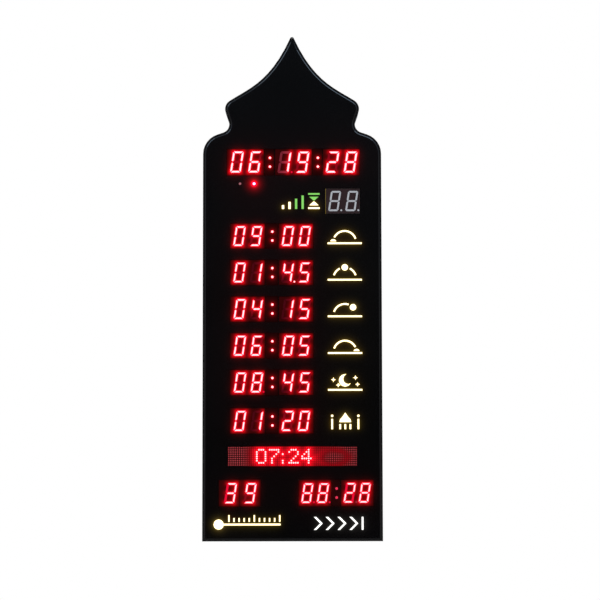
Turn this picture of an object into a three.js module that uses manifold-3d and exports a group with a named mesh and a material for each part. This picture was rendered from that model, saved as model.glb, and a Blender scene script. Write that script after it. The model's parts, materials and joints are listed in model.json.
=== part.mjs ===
// Tall wall clock with an onion-domed top: a black casing round a thick acrylic face,
// twin-digit LED modules in rows, a dot matrix line, glowing legend symbols and side switches.
// Millimetres. +X is to the right, +Z is up, and the face looks along -Y.
// Depth is counted from the wall, so a depth d lies at y = -d.
// Heights are counted from the casing's bottom edge until the whole clock is set on its hanger.

import * as THREE from 'three';
import { mergeVertices } from 'three/addons/utils/BufferGeometryUtils.js';
import Module from 'manifold-3d';

const wasm = await Module();
wasm.setup();

// Clearances and cutting
const fitGap = 0.3;
const overrun = 2;
const weld = 0.4;

// Casing
const wallThickness = 3.2;
const ledgeWidth = 8;
const bottomRailHeight = 13;
const coverRecess = 8;
const coverThickness = 2.5;
const panelThickness = 5;
const panelProud = 2;
const panelChamfer = 2;

// Dome outline, walked upwards from the side wall
const shoulderRise = 15.95;
const shoulderRadius = 38.5;
const shoulderTurn = THREE.MathUtils.degToRad(71.5);
const shelfRun = 12.2;
const neckRadius = 16.5;
const neckTurn = THREE.MathUtils.degToRad(-90.7);
const crownRun = 18.5;
const crownRadius = 18.5;
const crownTurn = THREE.MathUtils.degToRad(76.2);
const ogeeRise = 121.5;
const ogeeFootShare = 0.26;
const ogeeTipShare = 0.56;
const tipHalfAngle = THREE.MathUtils.degToRad(24.5);
const tipRadius = 3.5;
const arcSteps = 6;
const neckSteps = 8;
const ogeeSteps = 11;
const tipSteps = 2;
const nearAxis = 0.05;

// Clear heights between the rows of the face, from the bottom ledge upwards
const legendGap = 6.8;
const temperatureLegendRise = 2.6;
const bottomRowGap = 11.4;
const matrixGap = 25.25;
const lowestPrayerGap = 23.85;
const lastRowGap = 24.2;
const prayerGap = 21.3;
const prayerCount = 6;
const remainingGap = 18.6;
const lampRise = 9.5;
const mainGap = 25.2;

// Clear widths across the face, beside the modules and between them
const mainShift = 2.3;
const mainColonSpace = 21;
const prayerInset = 6.35;
const prayerColonSpace = 26.1;
const temperatureMargin = 30.25;
const bottomRowSpace = 70.4;
const endColonSpace = 18.3;
const endMargin = 16.95;
const moduleGap = 1.85;
const windowGap = 0.6;

// Twin-digit modules: the figures, the space between the two and the rims round them
const mainFigures = {
  digitWidth: 21, digitHeight: 41, stroke: 4.4, digitGap: 12.8, sideRim: 7.1, endRim: 4.25,
};
const rowFigures = {
  digitWidth: 19.5, digitHeight: 38.2, stroke: 4.1, digitGap: 12.8, sideRim: 6.35, endRim: 4.4,
};
const endFigures = {
  digitWidth: 18.8, digitHeight: 38.2, stroke: 4.1, digitGap: 10.9, sideRim: 5.9, endRim: 5,
};
const degreeFigures = {
  digitWidth: 19.5, digitHeight: 38.2, stroke: 4.1, digitGap: 17.5, sideRim: 10.5, endRim: 5.4,
};
const moduleDepth = 11.6;
const moduleSetback = 1.4;
const segmentRelief = 0.4;
const segmentGap = 0.45;
const digitSlant = THREE.MathUtils.degToRad(9.6);
const pointRadius = 1.9;
const pointOffset = 2.7;
const pointSides = 6;

// Colons between the modules
const colonSetback = 1.8;
const colonDotRadius = 2.6;
const colonDotRise = 8.3;
const colonDotSides = 8;
const stripThickness = 3;

// Dot matrix and the two round lamps
const matrixWidth = 240;
const matrixHeight = 36;
const lampRadius = 2.5;
const lampFlange = 3;
const lampFlangeLength = 1.2;
const lampSetback = 0.4;
const lampSides = 10;
const lampInset = 24.6;
const lampPitch = 26.3;

// Legend symbols, cut through the face, and the light boxes behind them
const symbolStroke = 3.4;
const prayerSymbolGap = 26.75;
const prayerSymbolWidth = 64;
const prayerSymbolHeight = 31;
const remainingSymbolGap = 10.8;
const remainingSymbolWidth = 72;
const remainingSymbolHeight = 30;
const temperatureSymbolReach = 9.25;
const temperatureSymbolWidth = 124;
const temperatureSymbolHeight = 28;
const endSymbolShift = 4.4;
const endSymbolWidth = 92;
const endSymbolHeight = 24;
const discSides = 12;
const sunShare = 0.2;
const moonShare = 0.38;
const biteShares = { across: 0.5, up: 0.22, size: 0.8 };
const starShare = 0.15;
const starWaistShare = 0.42;
const starCorners = 8;
const starShares = [[-0.34, 0.66], [-0.2, 0.34], [0.3, 0.78], [0.36, 0.38]];
const domeShares = { sill: 0.42, radius: 0.36, spread: 0.38, tower: 0.62, ball: 0.8, ballSize: 0.75 };
const glassShares = { width: 0.6, cap: 0.72, barPitch: 0.17, barWidth: 1.3 };
const barShares = [0.25, 0.45, 0.65, 0.85];
const scaleShares = { bulb: 0.34, lift: 1.4, shortTick: 0.26, longTick: 0.45, tickWidth: 0.8 };
const tickCount = 11;
const tickGroup = 5;
const arrowCount = 4;
const arrowStrokeShare = 1.4;
const lightMargin = 3;
const lightWall = 1.6;
const lightFaceThickness = 3;

// Circuit boards behind the modules
const boardThickness = 1.6;
const boardMargin = 5;
const boardClearance = 4;
const bossRadius = 3.5;
const bossSides = 8;
const bossInset = 6;

// Controller board, its parts and the ribbon cables
const controllerX = 0;
const controllerGap = 61.5;
const controllerWidth = 110;
const controllerLength = 80;
const controllerStandoff = 3;
const plugWidth = 16;
const plugLength = 8;
const plugInset = 3;
const plugEdge = 2;
const ribbonWidth = 12;
const ribbonThickness = 1;
const chipSize = 16;
const chipRise = 2.4;
const coilWidth = 22;
const coilLength = 16;
const coilRise = 8;
const coilClearance = 1.7;
const cellRadius = 10;
const cellThickness = 3.2;
const cellShift = 30;
const cellSides = 16;
const holderWall = 1.6;

// Speaker behind the cover's grille
const speakerX = 0;
const speakerHeight = 300;
const speakerRadius = 28.5;
const speakerRim = 2.5;
const speakerRimThickness = 2.2;
const magnetRadius = 15.5;
const magnetThickness = 5.5;
const coneThickness = 0.8;
const coneThroatRadius = 9.5;
const coneDrop = 5.2;
const capRise = 2;
const capShares = { radius: 0.6, rise: 0.75 };
const speakerSides = 20;
const grilleSlot = 3;
const grillePitch = 6.5;
const grilleRadius = 24;

// Rocker switches in the right-hand wall
const rockerDepth = 22;
const rockerTilt = THREE.MathUtils.degToRad(7);
const rockerRise = 17.95;
const rockerSpacing = 2.5;
const bezelThickness = 1.5;
const bezelRim = 1;
const paddleRim = 1.3;
const pivotInset = 5;
const hubRadius = 2.6;
const trunnionRadius = 1.2;
const trunnionLength = 0.9;
const terminalLength = 5;
const terminalThickness = 0.8;
const terminalWidth = 4;
const powerRocker = { length: 21, width: 15, body: 13 };
const speakerRocker = { length: 15, width: 10.5, body: 12 };

// Power inlet in the bottom rail
const inletX = 110;
const inletClearance = 3;
const inletWidth = 11;
const inletHeight = 14;
const inletRecess = 0.6;
const inletBoreRadius = 3.2;
const inletBoreLength = 11;
const inletPinRadius = 1.05;
const inletPinRecess = 4.7;

// Setting buttons in the rear cover
const buttonCount = 4;
const buttonPitch = 18;
const buttonX = -78;
const buttonHeight = 125;
const buttonRadius = 3.5;
const buttonProud = 2.5;
const buttonBevel = 0.5;
const buttonFlangeRadius = 5;
const buttonFlange = 1.2;
const buttonStemRadius = 2;
const buttonStem = 1.6;
const buttonTravel = 1;
const tactSize = 6;
const tactRise = 3.4;
const tactSides = 10;

// Hanger rail, flush with the wall plane
const hangerDrop = 31;
const hangerLength = 220;
const hangerWidth = 34;
const hangerThickness = 2;
const hangerLeg = 12;
const keyholeInset = 23;
const keyholeEntryRadius = 5.25;
const keyholeSlotRadius = 2.4;
const keyholeDrop = 6;
const keyholeLift = 8;

// Cover screws
const screwRadius = 1.5;
const screwHeadRadius = 2.9;
const screwHeadThickness = 2;
const screwLength = 12;
const screwSlot = 0.8;
const screwSides = 10;
const screwLow = 30;
const screwDrop = 21;

// A module's pitch and overall size follow from its figures and rims
function moduleSize(figures) {
  const pitch = figures.digitWidth + figures.digitGap;
  const width = pitch + figures.digitWidth + figures.sideRim * 2;
  const height = figures.digitHeight + figures.endRim * 2;
  return { ...figures, pitch, width, height };
}

const mainDigits = moduleSize(mainFigures);
const rowDigits = moduleSize(rowFigures);
const endDigits = moduleSize(endFigures);
const degreeDigits = moduleSize(degreeFigures);

// Depths, stacked from the rear cover to the face
const coverFront = coverRecess + coverThickness;
const controllerBack = coverFront + controllerStandoff + fitGap;
const controllerFront = controllerBack + boardThickness;
const boardBack = controllerFront + coilRise + coilClearance;
const boardFront = boardBack + boardThickness;
const moduleBack = boardFront + fitGap;
const moduleFace = moduleBack + moduleDepth;
const panelFront = moduleFace + moduleSetback;
const panelBack = panelFront - panelThickness;
const caseDepth = panelFront - panelProud;
const colonFace = panelFront - colonSetback;
const lampTop = panelFront - lampSetback;
const ledgeRear = coverFront + fitGap;
const ledgeFront = panelBack - fitGap;
const inletDepth = coverFront + inletClearance + inletWidth / 2;

// Heights of the rows' centre lines, stacked from the bottom ledge to the shoulder
const ledgeInset = wallThickness + ledgeWidth;
const endLegendHeight = ledgeInset + legendGap + lightMargin + endSymbolHeight / 2;
const temperatureLegendHeight = endLegendHeight + temperatureLegendRise;
const temperatureLightTop = temperatureLegendHeight + temperatureSymbolHeight / 2 + lightMargin;
const bottomRowHeight = temperatureLightTop + bottomRowGap + degreeDigits.height / 2;
const matrixRowHeight = bottomRowHeight + (degreeDigits.height + matrixHeight) / 2 + matrixGap;
const lowestPrayerHeight = matrixRowHeight + (matrixHeight + rowDigits.height) / 2 + lowestPrayerGap;
const dailyPrayerHeight = lowestPrayerHeight + rowDigits.height + lastRowGap;
const prayerPitch = rowDigits.height + prayerGap;
const dailyPrayerCount = prayerCount - 1;
const dailyHeights = Array.from(
  { length: dailyPrayerCount },
  (_, row) => dailyPrayerHeight + (dailyPrayerCount - 1 - row) * prayerPitch,
);
const prayerHeights = [...dailyHeights, lowestPrayerHeight];
const remainingRowHeight = prayerHeights[0] + rowDigits.height + remainingGap;
const lampRowHeight = remainingRowHeight + rowDigits.height / 2 + lampRise;
const mainRowHeight = remainingRowHeight + (rowDigits.height + mainDigits.height) / 2 + mainGap;
const sideHeight = mainRowHeight + shoulderRise;
const hangerHeight = sideHeight - hangerDrop;
const controllerHeight = speakerHeight + speakerRadius + controllerGap + controllerLength / 2;

// Places across the face; the bottom row is the widest and sets the casing's width
const endPitch = endDigits.width + endColonSpace;
const endSpan = endPitch + endDigits.width;
const caseWidth = temperatureMargin + degreeDigits.width + bottomRowSpace + endSpan + endMargin;
const halfWidth = caseWidth / 2;
const temperatureLeft = temperatureMargin - halfWidth;
const temperatureX = temperatureLeft + degreeDigits.width / 2;
const endMiddle = halfWidth - endMargin - endSpan / 2;
const endXs = [endMiddle - endPitch / 2, endMiddle + endPitch / 2];
const mainPitch = mainDigits.width + mainColonSpace;
const mainXs = [-mainPitch, 0, mainPitch].map((shift) => mainShift + shift);
const mainColonXs = [-mainPitch / 2, mainPitch / 2].map((shift) => mainShift + shift);
const mainLeft = mainXs[0] - mainDigits.width / 2;
const mainRight = mainXs[2] + mainDigits.width / 2;
const prayerModulePitch = rowDigits.width + prayerColonSpace;
const prayerMiddle = mainLeft + prayerInset + (rowDigits.width + prayerModulePitch) / 2;
const prayerXs = [prayerMiddle - prayerModulePitch / 2, prayerMiddle + prayerModulePitch / 2];
const remainingX = mainRight - rowDigits.width / 2;
const lampXs = [mainLeft + lampInset, mainLeft + lampInset + lampPitch];
const prayerSymbolX = prayerXs[1] + (rowDigits.width + prayerSymbolWidth) / 2 + prayerSymbolGap;
const remainingSymbolX = remainingX - (rowDigits.width + remainingSymbolWidth) / 2 - remainingSymbolGap;
const temperatureSymbolX = temperatureLeft - temperatureSymbolReach + temperatureSymbolWidth / 2;
const endSymbolX = endMiddle + endSymbolShift;
const plugX = controllerX + controllerWidth / 2 - plugEdge - plugWidth / 2;
const cellX = controllerX - cellShift;
const keyholeX = hangerLength / 2 - hangerLeg - keyholeInset;
const buttonXs = Array.from(
  { length: buttonCount },
  (_, place) => buttonX + (place - (buttonCount - 1) / 2) * buttonPitch,
);

// Finishes
function finish(color, roughness, metalness = 0) {
  return new THREE.MeshStandardMaterial({ color, roughness, metalness });
}

const finishes = {
  acrylic: finish(0x0b0b0d, 0.12),
  casing: finish(0x17181b, 0.38),
  cover: finish(0x131416, 0.7),
  steel: finish(0xb4b6b8, 0.35, 1),
  board: finish(0x1d5a34, 0.5),
  redDisplay: finish(0x6e0408, 0.3),
  greyDisplay: finish(0x3a3036, 0.35),
  redLamp: finish(0xff2436, 0.25),
  milkLens: finish(0xf4ecd2, 0.45),
  black: finish(0x0d0d0e, 0.3),
  cone: finish(0x2a2a2c, 0.85),
  ribbon: finish(0x8a8d92, 0.6),
};

// Closed geometry to solid, and back
function toSolid(geometry) {
  geometry.deleteAttribute('normal');
  geometry.deleteAttribute('uv');
  const merged = mergeVertices(geometry);
  const vertProperties = new Float32Array(merged.attributes.position.array);
  const triVerts = new Uint32Array(merged.index.array);
  return new wasm.Manifold(new wasm.Mesh({ numProp: 3, vertProperties, triVerts }));
}

function toGeometry(solid) {
  const mesh = solid.getMesh();
  const geometry = new THREE.BufferGeometry();
  geometry.setAttribute('position', new THREE.BufferAttribute(new Float32Array(mesh.vertProperties), 3));
  geometry.setIndex(new THREE.BufferAttribute(new Uint32Array(mesh.triVerts), 1));
  geometry.computeVertexNormals();
  return geometry;
}

const join = (solids) => solids.reduce((sum, solid) => sum.add(solid));
const cut = (solid, tools) => tools.reduce((rest, tool) => rest.subtract(tool), solid);

// A flat outline in x and height, thickened from one depth to another
function slab(shape, back, front) {
  const geometry = new THREE.ExtrudeGeometry(shape, { depth: front - back, bevelEnabled: false });
  geometry.rotateX(Math.PI / 2);
  geometry.translate(0, -back, 0);
  return toSolid(geometry);
}

// A block given by its centre x and height, its size and its two depths
function block(x, height, width, length, back, front) {
  const geometry = new THREE.BoxGeometry(width, front - back, length);
  geometry.translate(x, -(back + front) / 2, height);
  return toSolid(geometry);
}

// A round peg whose axis runs from front to back
function peg(x, height, radius, back, front, sides) {
  const geometry = new THREE.CylinderGeometry(radius, radius, front - back, sides);
  geometry.translate(x, -(back + front) / 2, height);
  return toSolid(geometry);
}

// A turned piece on an axis from front to back; the profile is radius and depth
function turned(x, height, profile, sides) {
  const points = profile.map(([radius, depth]) => new THREE.Vector2(radius, -depth));
  const geometry = new THREE.LatheGeometry(points, sides);
  geometry.translate(x, 0, height);
  return toSolid(geometry);
}

function polygon(points) {
  return new THREE.Shape(points.map(([x, height]) => new THREE.Vector2(x, height)));
}

// The casing's right half as points with headings: straight runs and arcs, then the ogee and the tip
function walkRightHalf() {
  const trail = [];
  const at = new THREE.Vector2(halfWidth, 0);
  let heading = Math.PI / 2;
  const note = (point, direction) => trail.push({ point: point.clone(), direction });
  const run = (length) => {
    at.add(new THREE.Vector2(Math.cos(heading), Math.sin(heading)).multiplyScalar(length));
    note(at, heading);
  };
  const arc = (radius, turn, steps) => {
    const side = Math.sign(turn);
    const centre = new THREE.Vector2(-Math.sin(heading), Math.cos(heading));
    centre.multiplyScalar(side * radius).add(at);
    const start = heading;
    for (let step = 1; step <= steps; step += 1) {
      heading = start + turn * step / steps;
      at.set(Math.sin(heading), -Math.cos(heading)).multiplyScalar(side * radius).add(centre);
      note(at, heading);
    }
  };
  note(at, heading);
  run(sideHeight);
  arc(shoulderRadius, shoulderTurn, arcSteps);
  run(shelfRun);
  arc(neckRadius, neckTurn, neckSteps);
  run(crownRun);
  arc(crownRadius, crownTurn, arcSteps);
  walkOgee(at, heading, note);
  return trail;
}

// The hollow curve from the crown to the rounded tip on the centre line
function walkOgee(foot, heading, note) {
  const tipHeading = Math.PI / 2 + tipHalfAngle;
  const tipCentre = new THREE.Vector2(0, foot.y + ogeeRise - tipRadius);
  const onTip = (direction) => new THREE.Vector2(Math.sin(direction), -Math.cos(direction))
    .multiplyScalar(tipRadius).add(tipCentre);
  const tipEnd = onTip(tipHeading);
  const reach = tipEnd.distanceTo(foot);
  const footPull = new THREE.Vector2(Math.cos(heading), Math.sin(heading));
  footPull.multiplyScalar(reach * ogeeFootShare).add(foot);
  const tipPull = new THREE.Vector2(-Math.cos(tipHeading), -Math.sin(tipHeading));
  tipPull.multiplyScalar(reach * ogeeTipShare).add(tipEnd);
  const ogee = new THREE.CubicBezierCurve(foot.clone(), footPull, tipPull, tipEnd);
  for (let step = 1; step <= ogeeSteps; step += 1) {
    const tangent = ogee.getTangent(step / ogeeSteps);
    note(ogee.getPoint(step / ogeeSteps), Math.atan2(tangent.y, tangent.x));
  }
  for (let step = 1; step <= tipSteps; step += 1) {
    const direction = tipHeading + (Math.PI - tipHeading) * step / tipSteps;
    note(onTip(direction), direction);
  }
}

const rightHalf = walkRightHalf();

// The casing's outline drawn in by an inset, with its bottom edge raised
function outline(inset, bottom = inset) {
  const half = [];
  for (const { point, direction } of rightHalf) {
    const inner = new THREE.Vector2(-Math.sin(direction), Math.cos(direction));
    inner.multiplyScalar(inset).add(point);
    const last = half[half.length - 1];
    if (last && inner.x <= nearAxis) {
      half.push(last.clone().lerp(inner, last.x / (last.x - inner.x)));
      break;
    }
    half.push(inner);
  }
  half[0].y = bottom;
  half[half.length - 1].x = 0;
  const mirrored = half.slice(0, -1).reverse().map((point) => new THREE.Vector2(-point.x, point.y));
  return new THREE.Shape([...half, ...mirrored]);
}

// The side walls as one ring: a thin lip in front, a thick ledge and a rebate behind
function casingRing() {
  return cut(slab(outline(0), 0, caseDepth), [
    slab(outline(ledgeInset), -overrun, caseDepth + overrun),
    slab(outline(wallThickness), ledgeFront, caseDepth + overrun),
    slab(outline(wallThickness), -overrun, ledgeRear),
  ]);
}

const coverScrews = [-1, 1].flatMap((side) => [screwLow, sideHeight - screwDrop].map((height) => ({
  x: side * (halfWidth - wallThickness - ledgeWidth / 2),
  height,
})));

function screwHoles(back, front) {
  return coverScrews.map(({ x, height }) => peg(x, height, screwRadius + fitGap, back, front, screwSides));
}

// One side of the ring, from the bottom rail to the tip
function sideBand(ring, side) {
  const tall = sideHeight * 2;
  const keep = block(
    side * (halfWidth / 2 + fitGap / 2 + overrun / 2),
    bottomRailHeight + fitGap + tall / 2,
    halfWidth + overrun,
    tall,
    -overrun,
    caseDepth + overrun,
  );
  const pilotEnd = coverRecess - fitGap + screwLength + fitGap;
  const band = cut(ring.intersect(keep), screwHoles(0, pilotEnd));
  return side > 0 ? cut(band, [powerSwitch, speakerSwitch].flatMap(rockerOpening)) : band;
}

function bottomRail(ring) {
  const keep = block(
    0, bottomRailHeight / 2, caseWidth + overrun, bottomRailHeight, -overrun, caseDepth + overrun,
  );
  const opening = inletWidth / 2 + fitGap;
  const hole = block(
    inletX, ledgeWidth, opening * 2, (ledgeWidth + overrun) * 2, inletDepth - opening, inletDepth + opening,
  );
  return cut(ring.intersect(keep), [hole]);
}

// Face panel: bevelled front edge, one window per row, symbols cut right through
function frontPanel() {
  const geometry = new THREE.ExtrudeGeometry(outline(wallThickness + fitGap), {
    depth: panelThickness - panelChamfer,
    bevelThickness: panelChamfer,
    bevelSize: panelChamfer,
    bevelOffset: -panelChamfer,
    bevelSegments: 1,
  });
  geometry.rotateX(Math.PI / 2);
  geometry.translate(0, -panelBack, 0);
  const rearBevel = slab(outline(0), panelBack - panelChamfer - overrun, panelBack);
  const lampHoles = lampXs.map((x) => dot(x, lampRowHeight, lampRadius + fitGap, lampSides));
  return cut(toSolid(geometry), [rearBevel, ...faceWindows(), ...lampHoles, ...symbolCutters()]);
}

// A square-cornered cut through the panel
function panelSlot(x, height, width, tall) {
  return block(x, height, width, tall, panelBack - overrun, panelFront + overrun);
}

function rowWindow(left, right, height, tall) {
  return panelSlot((left + right) / 2, height, right - left + windowGap * 2, tall + windowGap * 2);
}

function faceWindows() {
  const row = (xs, digits, height) => rowWindow(
    xs[0] - digits.width / 2, xs[xs.length - 1] + digits.width / 2, height, digits.height,
  );
  return [
    row(mainXs, mainDigits, mainRowHeight),
    row([remainingX], rowDigits, remainingRowHeight),
    ...prayerHeights.map((height) => row(prayerXs, rowDigits, height)),
    rowWindow(-matrixWidth / 2, matrixWidth / 2, matrixRowHeight, matrixHeight),
    row([temperatureX], degreeDigits, bottomRowHeight),
    row(endXs, endDigits, bottomRowHeight),
  ];
}

// Symbols are cut through the face, so no part of one may close round an island
const through = (shape) => slab(shape, panelBack - overrun, panelFront + overrun);
const bar = (left, right, low, high) => panelSlot(
  (left + right) / 2, (low + high) / 2, right - left, high - low,
);
const dot = (x, height, radius, sides = discSides) => peg(
  x, height, radius, panelBack - overrun, panelFront + overrun, sides,
);

// A curved stroke of even width round a centre
function curvedStroke(x, height, radius, from, to) {
  const steps = Math.ceil(discSides * Math.abs(to - from) / Math.PI);
  const edge = (reach) => Array.from({ length: steps + 1 }, (_, step) => {
    const angle = from + (to - from) * step / steps;
    return [x + reach * Math.cos(angle), height + reach * Math.sin(angle)];
  });
  const outer = edge(radius + symbolStroke / 2);
  const inner = edge(radius - symbolStroke / 2).reverse();
  return through(polygon([...outer, ...inner]));
}

// The sun's daily path over a horizon, with the sun at one angle on it
function sunPathSymbol(x, height, sunAngle) {
  const base = height - prayerSymbolHeight / 2;
  const sunRadius = prayerSymbolHeight * sunShare;
  const radius = prayerSymbolHeight - symbolStroke - sunRadius;
  const centre = base + symbolStroke;
  const sunGap = (sunRadius + symbolStroke) / radius;
  const strokes = [bar(x - prayerSymbolWidth / 2, x + prayerSymbolWidth / 2, base, base + symbolStroke)];
  const first = Math.asin(symbolStroke / radius) + symbolStroke / radius;
  const pieces = [[first, sunAngle - sunGap], [sunAngle + sunGap, Math.PI - first]];
  pieces.filter(([from, to]) => to - from > sunGap / 2)
    .forEach(([from, to]) => strokes.push(curvedStroke(x, centre, radius, from, to)));
  const sun = dot(x + radius * Math.cos(sunAngle), centre + radius * Math.sin(sunAngle), sunRadius);
  const ground = bar(
    x - prayerSymbolWidth, x + prayerSymbolWidth, base - prayerSymbolHeight, centre + symbolStroke / 2,
  );
  strokes.push(Math.sin(sunAngle) < sunRadius / radius ? sun.subtract(ground) : sun);
  return strokes;
}

// A crescent between small four-pointed stars over a horizon
function nightSymbol(x, height) {
  const base = height - prayerSymbolHeight / 2;
  const moonRadius = prayerSymbolHeight * moonShare;
  const moonHeight = base + prayerSymbolHeight - moonRadius;
  const bite = dot(
    x + moonRadius * biteShares.across,
    moonHeight + moonRadius * biteShares.up,
    moonRadius * biteShares.size,
  );
  return [
    bar(x - prayerSymbolWidth / 2, x + prayerSymbolWidth / 2, base, base + symbolStroke),
    dot(x, moonHeight, moonRadius).subtract(bite),
    ...starShares.map(([across, up]) => starCutter(
      x + prayerSymbolWidth * across, base + prayerSymbolHeight * up, prayerSymbolHeight * starShare,
    )),
  ];
}

function starCutter(x, height, reach) {
  const points = Array.from({ length: starCorners }, (_, corner) => {
    const radius = corner % 2 ? reach * starWaistShare : reach;
    const angle = corner * Math.PI * 2 / starCorners;
    return [x + radius * Math.cos(angle), height + radius * Math.sin(angle)];
  });
  return through(polygon(points));
}

// A small pointed dome on three piers between two slim towers
function domeSymbol(x, height) {
  const base = height - prayerSymbolHeight / 2;
  const up = (share) => base + prayerSymbolHeight * share;
  const domeRadius = prayerSymbolHeight * domeShares.radius;
  const domeSteps = discSides / 2;
  const dome = Array.from({ length: domeSteps + 1 }, (_, step) => {
    const angle = Math.PI * step / domeSteps;
    return [x + domeRadius * Math.cos(angle), up(domeShares.sill) + domeRadius * Math.sin(angle)];
  });
  dome.splice(domeSteps / 2, 1, [x, base + prayerSymbolHeight]);
  const upright = (middle, top) => bar(middle - symbolStroke / 2, middle + symbolStroke / 2, base, top);
  const towers = [-1, 1].flatMap((side) => {
    const middle = x + side * prayerSymbolWidth * domeShares.spread;
    return [
      upright(middle, up(domeShares.tower)),
      dot(middle, up(domeShares.ball), symbolStroke * domeShares.ballSize, discSides / 2),
    ];
  });
  const piers = [-1, 0, 1].map((side) => upright(
    x + side * (domeRadius - symbolStroke / 2), up(domeShares.sill) - symbolStroke,
  ));
  return [through(polygon(dome)), ...piers, ...towers];
}

// An hourglass and a row of bars that run down
function remainingSymbol(x, height) {
  const half = remainingSymbolHeight / 2;
  const glassHalf = half * glassShares.width;
  const glassX = x + remainingSymbolWidth / 2 - half * glassShares.cap;
  const waist = symbolStroke / 4;
  const bulb = half - symbolStroke * 2;
  const bulbs = [-1, 1].map((side) => through(polygon([
    [glassX - side * glassHalf, height + side * bulb],
    [glassX - side * waist, height + side * waist],
    [glassX + side * waist, height + side * waist],
    [glassX + side * glassHalf, height + side * bulb],
  ])));
  const caps = [-1, 1].map((side) => panelSlot(
    glassX, height + side * (half - symbolStroke / 2), half * glassShares.cap * 2, symbolStroke,
  ));
  const spacing = remainingSymbolWidth * glassShares.barPitch;
  const bars = barShares.map((share, place) => panelSlot(
    x - remainingSymbolWidth / 2 + spacing * place + symbolStroke,
    height - half + remainingSymbolHeight * share / 2,
    symbolStroke * glassShares.barWidth,
    remainingSymbolHeight * share,
  ));
  return [...bulbs, ...caps, ...bars];
}

// A thermometer lying on its side under a scale of ticks
function thermometerSymbol(x, height) {
  const bulbRadius = temperatureSymbolHeight * scaleShares.bulb;
  const left = x - temperatureSymbolWidth / 2;
  const right = x + temperatureSymbolWidth / 2;
  const stem = height - temperatureSymbolHeight / 2 + bulbRadius;
  const low = stem + symbolStroke * scaleShares.lift;
  const firstTick = left + bulbRadius * 3;
  const tickPitch = (right - firstTick - symbolStroke / 2) / (tickCount - 1);
  const ticks = Array.from({ length: tickCount }, (_, place) => {
    const share = place % tickGroup ? scaleShares.shortTick : scaleShares.longTick;
    const tall = temperatureSymbolHeight * share;
    const tickX = firstTick + place * tickPitch;
    return panelSlot(tickX, low + tall / 2, symbolStroke * scaleShares.tickWidth, tall);
  });
  const tube = panelSlot((left + bulbRadius + right) / 2, stem, right - left - bulbRadius, symbolStroke);
  return [dot(left + bulbRadius, stem, bulbRadius).add(tube), ...ticks];
}

// Arrow heads that run up to a stop bar
function endSymbol(x, height) {
  const half = endSymbolHeight / 2;
  const right = x + endSymbolWidth / 2;
  const stroke = symbolStroke * arrowStrokeShare;
  const reach = right - stroke * 2;
  const pitch = (reach - half - stroke - (x - endSymbolWidth / 2)) / (arrowCount - 1);
  const arrows = Array.from({ length: arrowCount }, (_, place) => {
    const tip = reach - place * pitch;
    return through(polygon([
      [tip, height],
      [tip - half, height + half],
      [tip - half - stroke, height + half],
      [tip - stroke, height],
      [tip - half - stroke, height - half],
      [tip - half, height - half],
    ]));
  });
  return [...arrows, panelSlot(right - symbolStroke / 2, height, symbolStroke, endSymbolHeight)];
}

function symbolCutters() {
  const sunAngles = [Math.PI, Math.PI / 2, Math.PI / 4, 0];
  const [nightRow, domeRow] = prayerHeights.slice(sunAngles.length);
  return [
    ...sunAngles.flatMap((angle, row) => sunPathSymbol(prayerSymbolX, prayerHeights[row], angle)),
    ...nightSymbol(prayerSymbolX, nightRow),
    ...domeSymbol(prayerSymbolX, domeRow),
    ...remainingSymbol(remainingSymbolX, remainingRowHeight),
    ...thermometerSymbol(temperatureSymbolX, temperatureLegendHeight),
    ...endSymbol(endSymbolX, endLegendHeight),
  ];
}

// A milky tray, open at the back, that spreads light behind a stretch of symbols
function lightBox(x, height, width, length) {
  const outerWidth = width + lightMargin * 2;
  const outerLength = length + lightMargin * 2;
  const tray = block(x, height, outerWidth, outerLength, moduleBack, ledgeFront);
  const inside = block(
    x, height, outerWidth - lightWall * 2, outerLength - lightWall * 2,
    moduleBack - overrun, ledgeFront - lightFaceThickness,
  );
  return cut(tray, [inside]);
}

// One bar of a digit: a hexagon with pointed ends, leaning with the digit
function segmentShape(x, height, from, to, stroke, upright) {
  const half = stroke / 2;
  const along = [
    [from, 0], [from + half, half], [to - half, half],
    [to, 0], [to - half, -half], [from + half, -half],
  ];
  return polygon(along.map(([run, rise]) => {
    const across = upright ? x + rise : run;
    const up = upright ? run : height + rise;
    return [across + up * Math.tan(digitSlant), up];
  }));
}

// The seven bars of one digit about its own centre
function digitShapes(digits) {
  const side = (digits.digitWidth - digits.stroke) / 2;
  const end = (digits.digitHeight - digits.stroke) / 2;
  const across = [-end, 0, end].map((height) => segmentShape(
    0, height, -side + segmentGap, side - segmentGap, digits.stroke, false,
  ));
  const upright = [-side, side].flatMap((x) => [[-end, 0], [0, end]].map(([low, high]) => segmentShape(
    x, 0, low + segmentGap, high - segmentGap, digits.stroke, true,
  )));
  return [...across, ...upright];
}

// A module is a flat-faced block with the bars of two digits and their points in low relief
function twinDigitModule(x, height, digits) {
  const front = moduleFace + segmentRelief;
  const body = block(x, height, digits.width, digits.height, moduleBack, moduleFace);
  const bars = [-digits.pitch / 2, digits.pitch / 2].flatMap((shift) => {
    const shapes = digitShapes(digits).map((shape) => slab(shape, moduleFace - weld, front));
    const point = peg(
      digits.digitWidth / 2 + pointOffset, pointRadius - digits.digitHeight / 2,
      pointRadius, moduleFace - weld, front, pointSides,
    );
    return [...shapes, point].map((solid) => solid.translate([x + shift, 0, height]));
  });
  return join([body, ...bars]);
}

function colonDots(x, height) {
  const front = colonFace + segmentRelief;
  return [-colonDotRise, colonDotRise].map((rise) => peg(
    x, height + rise, colonDotRadius, colonFace - weld, front, colonDotSides,
  ));
}

function colonPiece(x, height, width, tall) {
  return join([block(x, height, width, tall, moduleBack, colonFace), ...colonDots(x, height)]);
}

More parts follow.
